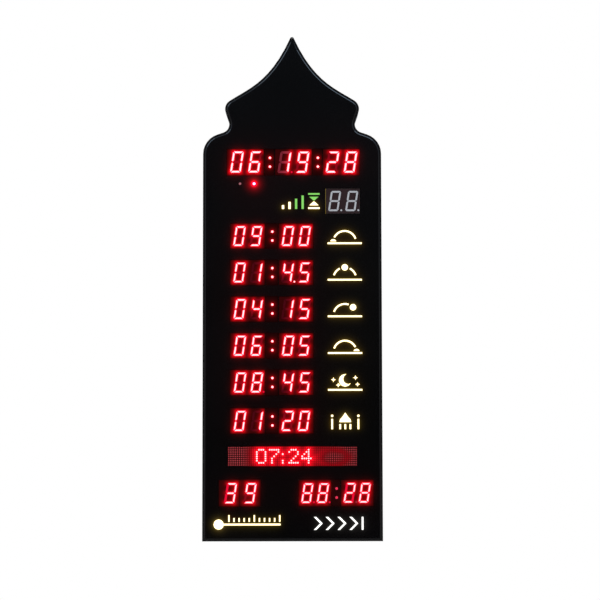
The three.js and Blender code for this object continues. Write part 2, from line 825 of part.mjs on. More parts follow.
// One strip behind the face carries the colons of every prayer row
function prayerColonStrip() {
  const width = prayerColonSpace - moduleGap * 2;
  const top = prayerHeights[0] + rowDigits.height / 2;
  const bottom = prayerHeights[prayerCount - 1] - rowDigits.height / 2;
  const spine = block(
    prayerMiddle, (top + bottom) / 2, width, top - bottom, moduleBack, moduleBack + stripThickness,
  );
  const pads = prayerHeights.flatMap((height) => [
    block(prayerMiddle, height, width, rowDigits.height, moduleBack + stripThickness - weld, colonFace),
    ...colonDots(prayerMiddle, height),
  ]);
  return join([spine, ...pads]);
}

function lamp(x) {
  const dome = lampTop - lampRadius;
  return turned(x, lampRowHeight, [
    [0, moduleBack],
    [lampFlange, moduleBack],
    [lampFlange, moduleBack + lampFlangeLength],
    [lampRadius, moduleBack + lampFlangeLength],
    [lampRadius, dome],
    [lampRadius * Math.SQRT1_2, dome + lampRadius * Math.SQRT1_2],
    [0, lampTop],
  ].reverse(), lampSides);
}

// Circuit boards: the upper two span their modules with an even margin, the lowest fills the casing
function boardSpan(left, right, low, high) {
  return {
    left: left - boardMargin,
    right: right + boardMargin,
    low: low - boardMargin,
    high: high + boardMargin,
  };
}

const topBoard = boardSpan(
  mainLeft,
  mainRight,
  remainingRowHeight - rowDigits.height / 2,
  mainRowHeight + mainDigits.height / 2,
);
const prayerBoard = boardSpan(
  prayerXs[0] - rowDigits.width / 2,
  prayerSymbolX + prayerSymbolWidth / 2 + lightMargin,
  prayerHeights[prayerCount - 1] - rowDigits.height / 2,
  prayerHeights[0] + rowDigits.height / 2,
);
const bottomBoard = {
  left: ledgeInset + boardClearance - halfWidth,
  right: halfWidth - ledgeInset - boardClearance,
  low: ledgeInset + boardClearance,
  high: matrixRowHeight + matrixHeight / 2 + boardMargin,
};

function displayBoard(span) {
  return block(
    (span.left + span.right) / 2, (span.low + span.high) / 2,
    span.right - span.left, span.high - span.low, boardBack, boardFront,
  );
}

const boardCorners = (span) => [span.left + bossInset, span.right - bossInset].flatMap(
  (x) => [span.low + bossInset, span.high - bossInset].map((height) => [x, height]),
);

// Rear cover: flat sheet with bosses for the boards, the speaker's grille and the button holes
function rearCover() {
  const sheet = slab(outline(wallThickness + fitGap), coverRecess, coverFront);
  const boss = ([x, height], top) => peg(x, height, bossRadius, coverFront - weld, top, bossSides);
  const prayerMiddleBosses = [prayerBoard.left + bossInset, prayerBoard.right - bossInset].map(
    (x) => [x, (prayerBoard.low + prayerBoard.high) / 2],
  );
  const longBosses = [topBoard, prayerBoard, bottomBoard].flatMap(boardCorners).concat(prayerMiddleBosses);
  const controllerSpan = {
    left: controllerX - controllerWidth / 2,
    right: controllerX + controllerWidth / 2,
    low: controllerHeight - controllerLength / 2,
    high: controllerHeight + controllerLength / 2,
  };
  const buttonReach = buttonBoardWidth() / 2 - bossRadius;
  const buttonEnds = [-1, 1].map((side) => [buttonX + side * buttonReach, buttonHeight]);
  const solids = [
    ...longBosses.map((place) => boss(place, boardBack - fitGap)),
    ...boardCorners(controllerSpan).map((place) => boss(place, controllerBack - fitGap)),
    ...buttonEnds.map((place) => boss(place, buttonBoardBack - fitGap)),
  ];
  const buttonHoles = buttonXs.map((x) => peg(
    x, buttonHeight, buttonRadius + fitGap, coverRecess - overrun, coverFront + overrun, tactSides,
  ));
  return cut(join([sheet, ...solids]), [
    ...screwHoles(coverRecess - overrun, coverFront + overrun), ...buttonHoles, ...grilleSlots(),
  ]);
}

function grilleSlots() {
  const reach = Math.floor(grilleRadius / grillePitch);
  return Array.from({ length: reach * 2 + 1 }, (_, place) => {
    const rise = (place - reach) * grillePitch;
    const width = 2 * Math.sqrt(grilleRadius ** 2 - rise ** 2);
    return block(
      speakerX, speakerHeight + rise, width, grilleSlot, coverRecess - overrun, coverFront + overrun,
    );
  });
}

// Hanger rail: a plate on two legs, with a keyhole near each end
function hangerRail() {
  const plate = block(0, hangerHeight, hangerLength, hangerWidth, 0, hangerThickness);
  const legs = [-1, 1].map((side) => block(
    side * (hangerLength - hangerLeg) / 2, hangerHeight, hangerLeg, hangerWidth,
    hangerThickness - weld, coverRecess - fitGap,
  ));
  const keyholes = [-1, 1].flatMap((side) => {
    const x = side * keyholeX;
    const entry = hangerHeight - keyholeDrop;
    const slotTop = hangerHeight + keyholeLift;
    const front = hangerThickness + overrun;
    return [
      peg(x, entry, keyholeEntryRadius, -overrun, front, discSides),
      peg(x, slotTop, keyholeSlotRadius, -overrun, front, discSides),
      block(x, (entry + slotTop) / 2, keyholeSlotRadius * 2, slotTop - entry, -overrun, front),
    ];
  });
  return cut(join([plate, ...legs]), keyholes);
}

function coverScrew({ x, height }) {
  const seat = coverRecess - fitGap;
  const head = seat - screwHeadThickness;
  const body = turned(x, height, [
    [0, head],
    [screwHeadRadius, head],
    [screwHeadRadius, seat],
    [screwRadius, seat],
    [screwRadius, seat + screwLength],
    [0, seat + screwLength],
  ].reverse(), screwSides);
  const slot = block(x, height, screwHeadRadius * 3, screwSlot, head - overrun, head + screwSlot);
  return cut(body, [slot]);
}

// Controller board on short bosses, with its chip, coil and two ribbon sockets
const socketTop = boardBack - ribbonThickness * 2 - fitGap * 2;
const socketReach = controllerLength / 2 - plugInset - plugLength / 2;
const socketHeights = [controllerHeight - socketReach, controllerHeight + socketReach];

function controllerBoard() {
  const chipHeight = controllerHeight - controllerLength / 4;
  const raised = (x, height, width, length, rise) => block(
    x, height, width, length, controllerFront - weld, controllerFront + rise,
  );
  const sheet = block(
    controllerX, controllerHeight, controllerWidth, controllerLength, controllerBack, controllerFront,
  );
  const socketRise = socketTop - controllerFront;
  return join([
    sheet,
    raised(controllerX - chipSize, chipHeight, chipSize, chipSize, chipRise),
    raised(controllerX + chipSize, chipHeight, coilWidth, coilLength, coilRise),
    ...socketHeights.map((height) => raised(plugX, height, plugWidth, plugLength, socketRise)),
  ]);
}

const cellHeight = controllerHeight + controllerLength / 4;
const cellSeat = controllerFront + fitGap + holderWall;

function cellHolder() {
  const pocketRadius = cellRadius + fitGap;
  const rim = cellSeat + cellThickness;
  const cup = peg(cellX, cellHeight, pocketRadius + holderWall, controllerFront + fitGap, rim, cellSides);
  const pocket = peg(cellX, cellHeight, pocketRadius, cellSeat, rim + overrun, cellSides);
  return cut(cup, [pocket]);
}

function coinCell() {
  const back = cellSeat + fitGap;
  return peg(cellX, cellHeight, cellRadius, back, back + cellThickness, cellSides);
}

// Flat cable from a controller socket to the edge of a display board
function ribbonCable(from, to) {
  const back = socketTop + fitGap;
  const length = Math.abs(to - from);
  const strip = block(plugX, (from + to) / 2, ribbonWidth, length, back, back + ribbonThickness);
  const plug = block(plugX, to, plugWidth, plugLength, back, boardBack - fitGap);
  const start = block(plugX, from, plugWidth, plugLength, back, back + ribbonThickness * 2);
  return join([strip, plug, start]);
}

// Speaker: frame and magnet in one turned piece, and the cone inside it
const speakerBack = coverFront + fitGap;

function speakerFrame() {
  const inner = speakerRadius - speakerRim;
  const rimFront = speakerBack + speakerRimThickness;
  const throat = speakerBack + coneDrop + coneThickness + fitGap * 4;
  const magnet = boardBack - fitGap * 2;
  return turned(speakerX, speakerHeight, [
    [0, magnet],
    [magnetRadius, magnet],
    [magnetRadius, magnet - magnetThickness],
    [speakerRadius, rimFront],
    [speakerRadius, speakerBack],
    [inner, speakerBack],
    [inner, speakerBack + coneThickness + fitGap * 2],
    [coneThroatRadius + fitGap * 2, throat],
    [0, throat],
  ], speakerSides);
}

function speakerCone() {
  const edge = speakerRadius - speakerRim - fitGap;
  const face = speakerBack + fitGap;
  const throat = face + coneDrop;
  return turned(speakerX, speakerHeight, [
    [0, throat + coneThickness],
    [coneThroatRadius, throat + coneThickness],
    [edge, face + coneThickness],
    [edge, face],
    [coneThroatRadius, throat],
    [coneThroatRadius * capShares.radius, throat - capRise * capShares.rise],
    [0, throat - capRise],
  ], speakerSides);
}

// Rocker switches: a section in x and height, thickened from front to back
function rockerSlab(points, centreDepth, width) {
  return slab(polygon(points), centreDepth - width / 2, centreDepth + width / 2);
}

const pivotX = halfWidth - pivotInset;
const powerSwitchHeight = bottomBoard.high + rockerRise + powerRocker.length / 2;
const switchPitch = (powerRocker.length + speakerRocker.length) / 2 + rockerSpacing;
const powerSwitch = { ...powerRocker, height: powerSwitchHeight };
const speakerSwitch = { ...speakerRocker, height: powerSwitchHeight + switchPitch };

function paddleLength(switchSize) {
  return switchSize.length - paddleRim * 2 - paddleSwing(switchSize) * 2;
}

// How much further the paddle's corners reach when it tips than when it lies level
function paddleSwing(switchSize) {
  const half = switchSize.length / 2 - paddleRim;
  const corner = Math.hypot(half, pivotInset);
  const cornerAngle = Math.atan2(pivotInset, half);
  return corner * Math.cos(cornerAngle - rockerTilt) - half + fitGap;
}

function rockerOpening(switchSize) {
  const depth = rockerDepth;
  const bezel = block(
    halfWidth, switchSize.height, (bezelThickness + fitGap) * 2, switchSize.length + fitGap * 2,
    depth - switchSize.width / 2 - fitGap, depth + switchSize.width / 2 + fitGap,
  );
  const width = switchSize.width / 2 - bezelRim + fitGap;
  const body = block(
    halfWidth, switchSize.height, switchSize.body * 4, switchSize.length - bezelRim * 2 + fitGap * 2,
    depth - width, depth + width,
  );
  return [bezel, body];
}

function rockerHousing(switchSize) {
  const depth = rockerDepth;
  const bezel = block(
    halfWidth - bezelThickness / 2, switchSize.height, bezelThickness, switchSize.length,
    depth - switchSize.width / 2, depth + switchSize.width / 2,
  );
  const narrow = switchSize.width / 2 - bezelRim;
  const bodyMiddle = halfWidth - (bezelThickness + switchSize.body) / 2;
  const bodyReach = switchSize.body - bezelThickness + weld;
  const bodyLength = switchSize.length - bezelRim * 2;
  const body = block(bodyMiddle, switchSize.height, bodyReach, bodyLength, depth - narrow, depth + narrow);
  const pocketHalf = switchSize.width / 2 - paddleRim;
  const pocketFloor = pivotX - hubRadius - fitGap * 2;
  const pocket = block(
    (pocketFloor + halfWidth + overrun) / 2, switchSize.height, halfWidth + overrun - pocketFloor,
    switchSize.length - paddleRim * 2, depth - pocketHalf, depth + pocketHalf,
  );
  const bearing = peg(
    pivotX, switchSize.height, trunnionRadius + fitGap,
    depth - pocketHalf - trunnionLength, depth + pocketHalf + trunnionLength, discSides,
  );
  const terminalX = halfWidth - switchSize.body - terminalLength / 2 + weld;
  const terminals = [-1, 1].map((side) => block(
    terminalX, switchSize.height + side * switchSize.length / 4, terminalLength + weld,
    terminalThickness, depth - terminalWidth / 2, depth + terminalWidth / 2,
  ));
  return join([cut(join([bezel, body]), [pocket, bearing]), ...terminals]);
}

// The paddle at rest has its lower end out, tipped about its two trunnions
function rockerPaddle(switchSize) {
  const half = paddleLength(switchSize) / 2;
  const width = (switchSize.width / 2 - paddleRim - fitGap) * 2;
  const body = rockerSlab([
    [pivotInset, -half],
    [pivotInset - fitGap, 0],
    [pivotInset, half],
    [pivotInset / 2, half],
    [-hubRadius, hubRadius],
    [-hubRadius, -hubRadius],
    [pivotInset / 2, -half],
  ], rockerDepth, width);
  const reach = width / 2 + trunnionLength;
  const trunnion = peg(0, 0, trunnionRadius, rockerDepth - reach, rockerDepth + reach, discSides);
  const tilted = join([body, trunnion]).rotate([0, -THREE.MathUtils.radToDeg(rockerTilt), 0]);
  return tilted.translate([pivotX, 0, switchSize.height]);
}

// Power inlet: a block with a round bore from below and a contact pin deep inside
function powerInlet() {
  const upright = (radius, low, high) => {
    const geometry = new THREE.CylinderGeometry(radius, radius, high - low, discSides);
    geometry.rotateX(Math.PI / 2);
    geometry.translate(inletX, -inletDepth, (low + high) / 2);
    return toSolid(geometry);
  };
  const body = block(
    inletX, inletRecess + inletHeight / 2, inletWidth, inletHeight,
    inletDepth - inletWidth / 2, inletDepth + inletWidth / 2,
  );
  const boreTop = inletRecess + inletBoreLength;
  const pin = upright(inletPinRadius, inletRecess + inletPinRecess, boreTop + weld);
  return join([cut(body, [upright(inletBoreRadius, inletRecess - overrun, boreTop)]), pin]);
}

// Setting buttons: a cap through the cover, held by its flange, over a small switch
const buttonFlangeBack = coverFront + fitGap;
const buttonStemEnd = buttonFlangeBack + buttonFlange + buttonStem;
const buttonBoardBack = buttonStemEnd + buttonTravel + fitGap + tactRise;

function buttonBoardWidth() {
  return buttonPitch * (buttonCount - 1) + (buttonFlangeRadius + bossRadius * 2 + fitGap * 2) * 2;
}

function settingButton(x) {
  const top = coverRecess - buttonProud;
  return turned(x, buttonHeight, [
    [0, top],
    [buttonRadius - buttonBevel, top],
    [buttonRadius, top + buttonBevel],
    [buttonRadius, buttonFlangeBack],
    [buttonFlangeRadius, buttonFlangeBack],
    [buttonFlangeRadius, buttonFlangeBack + buttonFlange],
    [buttonStemRadius, buttonFlangeBack + buttonFlange],
    [buttonStemRadius, buttonStemEnd],
    [0, buttonStemEnd],
  ].reverse(), tactSides);
}

function buttonBoard() {
  const sheet = block(
    buttonX, buttonHeight, buttonBoardWidth(), tactSize + boardMargin * 2,
    buttonBoardBack, buttonBoardBack + boardThickness,
  );
  const switches = buttonXs.map((x) => block(
    x, buttonHeight, tactSize, tactSize, buttonBoardBack - tactRise, buttonBoardBack + weld,
  ));
  return join([sheet, ...switches]);
}

// The whole clock, hung so that the origin lies on the wall midway between the two keyholes
const clock = new THREE.Group();
clock.name = 'azan_clock';
clock.position.z = -hangerHeight;

function addPart(name, solid, material) {
  const mesh = new THREE.Mesh(toGeometry(solid), material);
  mesh.name = name;
  clock.add(mesh);
}

function addCasing() {
  const ring = casingRing();
  addPart('left_band', sideBand(ring, -1), finishes.casing);
  addPart('right_band', sideBand(ring, 1), finishes.casing);
  addPart('bottom_rail', bottomRail(ring), finishes.casing);
  addPart('front_panel', frontPanel(), finishes.acrylic);
  addPart('rear_cover', rearCover(), finishes.cover);
  addPart('hanger_rail', hangerRail(), finishes.steel);
  coverScrews.forEach((place, index) => {
    addPart(`cover_screw_${index + 1}`, coverScrew(place), finishes.steel);
  });
}

function addModule(name, x, height, digits, material = finishes.redDisplay) {
  addPart(`${name}_module`, twinDigitModule(x, height, digits), material);
}

function addDisplays() {
  ['hours', 'minutes', 'seconds'].forEach((unit, place) => {
    addModule(`main_${unit}`, mainXs[place], mainRowHeight, mainDigits);
  });
  addModule('remaining', remainingX, remainingRowHeight, rowDigits, finishes.greyDisplay);
  prayerHeights.forEach((height, row) => ['hours', 'minutes'].forEach((unit, place) => {
    addModule(`prayer_${row + 1}_${unit}`, prayerXs[place], height, rowDigits);
  }));
  addModule('temperature', temperatureX, bottomRowHeight, degreeDigits);
  ['hours', 'minutes'].forEach((unit, place) => {
    addModule(`end_${unit}`, endXs[place], bottomRowHeight, endDigits);
  });
  const matrix = block(0, matrixRowHeight, matrixWidth, matrixHeight, moduleBack, moduleFace);
  addPart('dot_matrix_display', matrix, finishes.redDisplay);
  lampXs.forEach((x, place) => addPart(`indicator_lamp_${place + 1}`, lamp(x), finishes.redLamp));
}

function addColons() {
  const mainWidth = mainColonSpace - moduleGap * 2;
  const endWidth = endColonSpace - moduleGap * 2;
  mainColonXs.forEach((x, place) => {
    const piece = colonPiece(x, mainRowHeight, mainWidth, mainDigits.height);
    addPart(`main_colon_${place + 1}`, piece, finishes.redDisplay);
  });
  const endPiece = colonPiece(endMiddle, bottomRowHeight, endWidth, endDigits.height);
  addPart('end_colon', endPiece, finishes.redDisplay);
  addPart('prayer_colon_strip', prayerColonStrip(), finishes.redDisplay);
}

function addLegendLights() {
  const middlePrayer = (prayerHeights[0] + prayerHeights[prayerCount - 1]) / 2;
  const prayerLength = prayerHeights[0] - prayerHeights[prayerCount - 1] + prayerSymbolHeight;
  const lights = {
    prayers: lightBox(prayerSymbolX, middlePrayer, prayerSymbolWidth, prayerLength),
    remaining: lightBox(
      remainingSymbolX, remainingRowHeight, remainingSymbolWidth, remainingSymbolHeight,
    ),
    temperature: lightBox(
      temperatureSymbolX, temperatureLegendHeight, temperatureSymbolWidth, temperatureSymbolHeight,
    ),
    end: lightBox(endSymbolX, endLegendHeight, endSymbolWidth, endSymbolHeight),
  };
  Object.entries(lights).forEach(([name, light]) => {
    addPart(`legend_light_${name}`, light, finishes.milkLens);
  });
}

function addElectronics() {
  addPart('display_board_top', displayBoard(topBoard), finishes.board);
  addPart('display_board_prayers', displayBoard(prayerBoard), finishes.board);
  addPart('display_board_bottom', displayBoard(bottomBoard), finishes.board);
  addPart('controller_board', controllerBoard(), finishes.board);
  addPart('coin_cell_holder', cellHolder(), finishes.black);
  addPart('coin_cell', coinCell(), finishes.steel);
  const lowerRibbon = ribbonCable(socketHeights[0], bottomBoard.high - plugLength / 2);
  const upperRibbon = ribbonCable(socketHeights[1], topBoard.low + plugLength / 2);
  addPart('ribbon_cable_lower', lowerRibbon, finishes.ribbon);
  addPart('ribbon_cable_upper', upperRibbon, finishes.ribbon);
  addPart('speaker_frame', speakerFrame(), finishes.black);
  addPart('speaker_cone', speakerCone(), finishes.cone);
  addPart('button_board', buttonBoard(), finishes.board);
  addPart('power_inlet', powerInlet(), finishes.black);
}

function addControls() {
  [['power', powerSwitch], ['speaker', speakerSwitch]].forEach(([name, size]) => {
    addPart(`${name}_switch_housing`, rockerHousing(size), finishes.black);
    addPart(`${name}_switch_rocker`, rockerPaddle(size), finishes.black);
  });
  buttonXs.forEach((x, place) => {
    addPart(`setting_button_${place + 1}`, settingButton(x), finishes.black);
  });
}

addCasing();
addDisplays();
addColons();
addLegendLights();
addElectronics();
addControls();

export default clock;
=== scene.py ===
import json
import math
from collections import namedtuple
from contextlib import contextmanager

import bmesh
import bpy
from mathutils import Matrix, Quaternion, Vector


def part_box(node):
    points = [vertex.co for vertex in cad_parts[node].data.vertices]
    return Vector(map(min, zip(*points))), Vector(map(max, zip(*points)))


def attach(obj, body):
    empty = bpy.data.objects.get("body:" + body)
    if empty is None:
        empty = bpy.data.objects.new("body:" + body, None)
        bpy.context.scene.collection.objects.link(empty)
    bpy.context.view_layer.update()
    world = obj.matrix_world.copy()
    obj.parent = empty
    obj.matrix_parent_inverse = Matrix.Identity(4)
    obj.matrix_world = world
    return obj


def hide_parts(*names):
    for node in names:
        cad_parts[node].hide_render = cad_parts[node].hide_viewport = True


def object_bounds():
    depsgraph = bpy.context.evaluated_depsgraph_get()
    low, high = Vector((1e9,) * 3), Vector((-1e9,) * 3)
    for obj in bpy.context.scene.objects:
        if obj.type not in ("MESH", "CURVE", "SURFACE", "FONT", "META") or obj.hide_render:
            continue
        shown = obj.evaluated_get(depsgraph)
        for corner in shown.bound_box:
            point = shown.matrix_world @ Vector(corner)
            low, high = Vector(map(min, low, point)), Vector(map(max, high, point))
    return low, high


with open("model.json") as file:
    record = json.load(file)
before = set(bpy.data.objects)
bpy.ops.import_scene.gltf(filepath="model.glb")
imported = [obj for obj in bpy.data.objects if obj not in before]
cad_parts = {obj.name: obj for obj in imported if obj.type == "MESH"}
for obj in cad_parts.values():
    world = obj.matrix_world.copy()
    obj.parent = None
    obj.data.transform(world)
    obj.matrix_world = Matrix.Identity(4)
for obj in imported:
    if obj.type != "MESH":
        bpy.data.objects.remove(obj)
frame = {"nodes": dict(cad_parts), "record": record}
cad_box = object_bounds()

# Lengths below are millimetres unless a name says otherwise
MM = 0.001

# How near points are welded, lie on a cut or on a cap, and the turn from which an edge is sharp
WELD = 0.002
CUT_NEAR = 0.01
CAP_NEAR = 0.02
SHARP = math.radians(35)

# Figures of the twin-digit modules: their size, bars and pitch, how wide the red rim of a lit bar
# is and how strongly the face catches the bars' light
Figures = namedtuple("Figures", "width height stroke pitch rim wash")
MAIN = Figures(21.0, 41.0, 4.4, 33.8, 0.75, 0.78)
ROW = Figures(19.3, 38.2, 4.1, 31.3, 0.8, 0.7)
ROW_CLOSE = ROW._replace(pitch=30.0)
END = Figures(18.8, 37.3, 4.1, 29.0, 0.95, 0.44)
END_CLOSE = END._replace(pitch=27.9)
DEGREE = Figures(19.4, 38.2, 4.1, 36.2, 0.85, 0.62)
COLD = Figures(19.2, 38.2, 3.4, 32.0, 1.0, 0.0)
SLANT = math.tan(math.radians(8.7))
SEGMENT_GAP = 0.25
MIDDLE_GAP = 0.35
OUTER_CUT = 2.1
BAR_EDGE = 0.3
POINT_RADIUS = 1.8
POINT_OFFSET = 2.7
RELIEF = 0.4

# Module shells, the seam between the temperature's two, and the light that faces catch: the reach
# over which it fades, the pitch of the grid that holds it, and the most of it
SHELL_CORNER = 0.9
SHELL_EDGE = 0.35
SHELL_RIM = 0.8
FACE_SINK = 0.15
SEAM = 0.25
CORNER_STEPS = 3
GLOW_REACH = 2.2
GLOW_PITCH = 1.6
GLOW_MOST = 1.5

# Bars of the figures: their form, then whether it is mirrored across and upside down
BARS = {
    "a": ("end", 1, 1), "g": ("middle", 1, 1), "d": ("end", 1, -1),
    "f": ("side", 1, 1), "b": ("side", -1, 1), "e": ("side", 1, -1), "c": ("side", -1, -1),
}
LIT_BARS = {
    "0": "abcdef", "1": "bc", "2": "abged", "3": "abgcd", "4": "fgbc", "5": "afgcd",
    "6": "afgedc", "8": "abcdefg", "9": "abcdfg", " ": "",
}

# What each module shows: the text, how far its figures stand to the right of its middle, the
# figures, the look of unlit bars and of the two points, and how far they stand above the middle
DARK = ("faint", "faint")
Reading = namedtuple(
    "Reading", "name text shift figures ghosts points rise", defaults=(ROW, DARK, DARK, 0.0),
)
READINGS = [
    Reading("main_hours", "06", 1.2, MAIN, rise=0.5),
    Reading("main_minutes", "19", 0.5, MAIN, ("ghost", "faint"), ("glow", "faint")),
    Reading("main_seconds", "28", 0.4, MAIN),
    Reading("remaining", "  ", 1.0, COLD, ("pale", "pale"), ("pale", "pale")),
    Reading("prayer_1_hours", "09", 0.7),
    Reading("prayer_1_minutes", "00", 0.7),
    Reading("prayer_2_hours", "01", 1.0),
    Reading("prayer_2_minutes", "45", 0.2, points=("core", "faint")),
    Reading("prayer_3_hours", "04", 1.6),
    Reading("prayer_3_minutes", "15", 0.3),
    Reading("prayer_4_hours", "06", 1.6),
    Reading("prayer_4_minutes", "05", 0.3, ROW_CLOSE),
    Reading("prayer_5_hours", "08", 2.1, points=("faint", "glow")),
    Reading("prayer_5_minutes", "45", 0.2),
    Reading("prayer_6_hours", "01", 2.0),
    Reading("prayer_6_minutes", "20", -0.6, ROW_CLOSE),
    Reading("temperature", "39", 1.7, DEGREE, ghosts=("glow", "faint")),
    Reading("end_hours", "88", 0.6, END, points=("glow", "glow")),
    Reading("end_minutes", "28", -0.2, END_CLOSE, ("glow", "faint"), ("ghost", "faint"), 0.4),
]
KINDS = ("shell", "face", "rim", "core", "faint", "ghost", "glow", "pale", "sheen")

# Colons, and the strip that carries those of the prayer rows
COLON_SHIFT = 1.1
COLON_RISE = 8.3
COLON_RADIUS = 2.5
COLON_KINDS = ("colon_plate", "rim", "core", "dim_dot", "plate_side")
PRAYER_ROWS = 6
SPINE = 3.0

# Dot matrix line
MATRIX_PITCH = 4.0
DOT_RADIUS = 1.4
LIT_DOT_RADIUS = 1.6
MATRIX_TEXT_ROW = 1

# The figures on it, by their first column, row by row
GLYPHS = {
    13: ".###. #...# #...# #...# #...# #...# .###.",
    19: "##### ....# ...#. ..#.. .#... .#... .#...",
    25: ". . # . . # #",
    28: ".###. #...# ....# ...#. ..#.. .#... #####",
    34: "...#. ..##. .#.#. #..#. ##### ...#. ...#.",
}

# Light on the dot matrix, as strength and reach, counted in dots: near the lit dots, further
# about them, in a rippled patch beside them, and in an oval ring, whose reach is a share of it
NEAR_LIGHT = (0.85, 1.9)
FAR_LIGHT = (0.24, 4.5)
PATCH_LIGHT = (0.09, 9.0)
PATCH_COLUMN = 44
RIPPLE_SINE = (0.55, 0.9)
RIPPLE_COSINE = (-0.21, 0.8)
RIPPLE_MEAN = 0.75
RIPPLE_DEPTH = 0.35
RING_LIGHT = (0.16, 1 / 3)
RING_CENTRE = (48, 4.5)
RING_RADII = (7, 3.6)

# Round parts in low relief: a share of the radius, then the height off the top in reliefs
POINT_SHARES = ((1, -0.5), (0.8, 0), (0.5, 0))
COLON_SHARES = ((1, -1), (0.82, -0.3), (0.5, 0), (0, 0.1))
DOT_SHARES = ((1, 0.3), (0.8, 0.8), (0, 1))

# Round lamps
LAMP_RADIUS = 2.5
LAMP_FLANGE = 1.2
LAMP_STEPS = 7

# Face panel: the turn up to which faces are one plane, how square to the front a flat face is, and
# how far down an edge faces to get the darker, less glossy copy of its finish that paints shade
ONE_PLANE = math.radians(0.5)
FLAT_FACING = 0.99
SHADE_FACING = -0.6

# Glowing legends
LEGEND_GAP = 0.05
LEGEND_SINK = 0.2
LEGEND_CORNER = 1.0
LEGEND_EDGE = 0.42
GREEN_LEFT_SHARE = 0.3
GREEN_RIGHT_SHARE = 0.62
Green = namedtuple("Green", "left right level")

# Setting buttons: radii and depths of the dished cap, then the flange and stem
BUTTONS = 4
CAP_POINTS = ((0, 0.35), (1.4, 0.28), (2.4, 0.1), (2.9, 0), (3.25, 0.1), (3.5, 0.5))
CAP_RADIUS = 3.5
STEM_RADIUS = 2.0
STEM_LENGTH = 1.6
BUTTON_FLANGE = 1.2

# Cover screws: shares of the head's radius and depths of its round top, then the shank and cross
HEAD_POINTS = ((0, 0), (0.55, 0.12), (0.85, 0.55), (1, 1.3))
HEAD_DEPTH = 2.0
SHANK_RADIUS = 1.5
SHANK_TIP = 1.5
CROSS_LENGTH = 3.4
CROSS_WIDTH = 0.75
CROSS_CORNER = 0.15
CROSS_DEPTH = 1.1
OVERRUN = 1.0

# Hanger rail
RAIL_THICKNESS = 2.0
RAIL_CORNER = 4.0
RAIL_CORNER_STEPS = 6
RAIL_EDGE = 0.3
KEYHOLE_X = 75.0
KEYHOLE_ENTRY = 5.25
KEYHOLE_SLOT = 2.4
KEYHOLE_DROP = 6.0
KEYHOLE_RISE = 8.0
KEYHOLE_STEPS = 14
LEG_WIDTH = 12.0
LEG_INSET = 2.0
LEG_OVERLAP = 0.2
LEG_CORNER = 2.0
RIVET_RISE = 9.0
RIVET_POINTS = ((2.2, 0.2), (2.2, 0.05), (1.6, 0), (0, 0))

# Speaker: radii and depths behind the cone's front, and between them the rolled surround, drawn in
# from the rim and forward of the cone's back
CONE_POINTS = ((0, 3.4), (2.4, 3.2), (4.6, 2.3), (5.7, 1.3), (9.5, 1.0), (15.0, 3.1))
ROLL_POINTS = (
    (4.2, 1.6), (3.6, 1.2), (2.6, 0.1), (1.6, 0), (0.6, 0.4), (0, 0.8), (0, 1.1), (3.6, 1.7),
)
CONE_FRONT_POINTS = ((15.0, 2.3), (9.5, 0), (0, 0))
CLOTH_INSET = 3.0
CLOTH_DEPTH = 2.6
CLOTH_THICKNESS = 0.15

# Power inlet: radii and heights above the mouth of the bore and of the pin in it
INLET_CORNER = 1.0
INLET_EDGE = 0.4
INLET_INNER_CORNER = 0.8
BORE_POINTS = ((3.7, 0), (3.2, 0.5), (3.2, 11.0))
PIN_POINTS = ((1.05, 11.2), (1.05, 5.0), (0.5, 4.7))

# CAD nodes that stay keep their shapes; these get eased edges
EASED = {
    "left_band": 0.35, "right_band": 0.35, "bottom_rail": 0.35,
    "power_switch_housing": 0.3, "power_switch_rocker": 0.35,
    "speaker_switch_housing": 0.3, "speaker_switch_rocker": 0.35,
}
EASE_SEGMENTS = 2
EASE_ANGLE = math.radians(40)

# Where the photograph's camera stood, and the floor, in metres
CAMERA_AT = Vector((0.0144, -2.536, -0.3847))
CAMERA_AIM = Vector((0.0144, -0.040, -0.2439))
CAMERA_LENS = 80.5
CAMERA_ROLL = math.radians(-0.09)
SENSOR = 36.0
FLOOR_DROP = 0.5
FLOOR_REACH = 2.2

# Soft lights: place and size in metres, power and colour
Light = namedtuple("Light", "name place size power colour")
LIGHTS = [
    Light("right_high", (1.0, -0.05, 1.75), (1.0, 1.0), 6.0, (0.6, 0.78, 1.0)),
    Light("left_high", (-1.3, -0.05, 1.35), (0.9, 0.9), 3.5, (0.66, 0.8, 1.0)),
    Light("left_side", (-1.8, -0.7, 0.2), (0.8, 1.4), 6.0, (0.95, 0.97, 1.0)),
    Light("behind", (-1.2, 1.8, 1.2), (1.2, 1.2), 22.0, (1.0, 0.98, 0.95)),
]
LIGHT_AIM = Vector((0, 0, -0.1))

# The room that gloss sees: along which way it changes, from where to where, and from what to what
ROOM_SIDES = ("Y", -0.9, 0.0, 0.05, 0.32)
ROOM_FRONT = ("Z", -0.12, 0.25, -0.04, 0.03)
ROOM_OVERHEAD = ("Z", 0.25, 0.9, 0.0, 0.3)
ROOM_TINT = ("Z", 0.0, 0.3, 0.0, 1.0)
LOW_TINT = (0.86, 0.84, 0.88, 1)
HIGH_TINT = (0.66, 0.8, 1.0, 1)

# Bloom: where it starts, then the reach of each blur as a share of the picture, and its strength
BLOOM_START = 1.15
BLOOM_BLURS = [(0.006, 0.14), (0.011, 0.08), (0.022, 0.09), (0.1, 0.016)]


class Span(namedtuple("Span", "left right back front low high")):
    """A box in millimetres, with depths counted from the wall towards the face."""

    @property
    def width(self):
        return self.right - self.left

    @property
    def height(self):
        return self.high - self.low

    @property
    def middle(self):
        return (self.left + self.right) / 2, (self.low + self.high) / 2


def span(node):
    low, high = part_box(node)
    return Span(low.x / MM, high.x / MM, -high.y / MM, -low.y / MM, low.z / MM, high.z / MM)


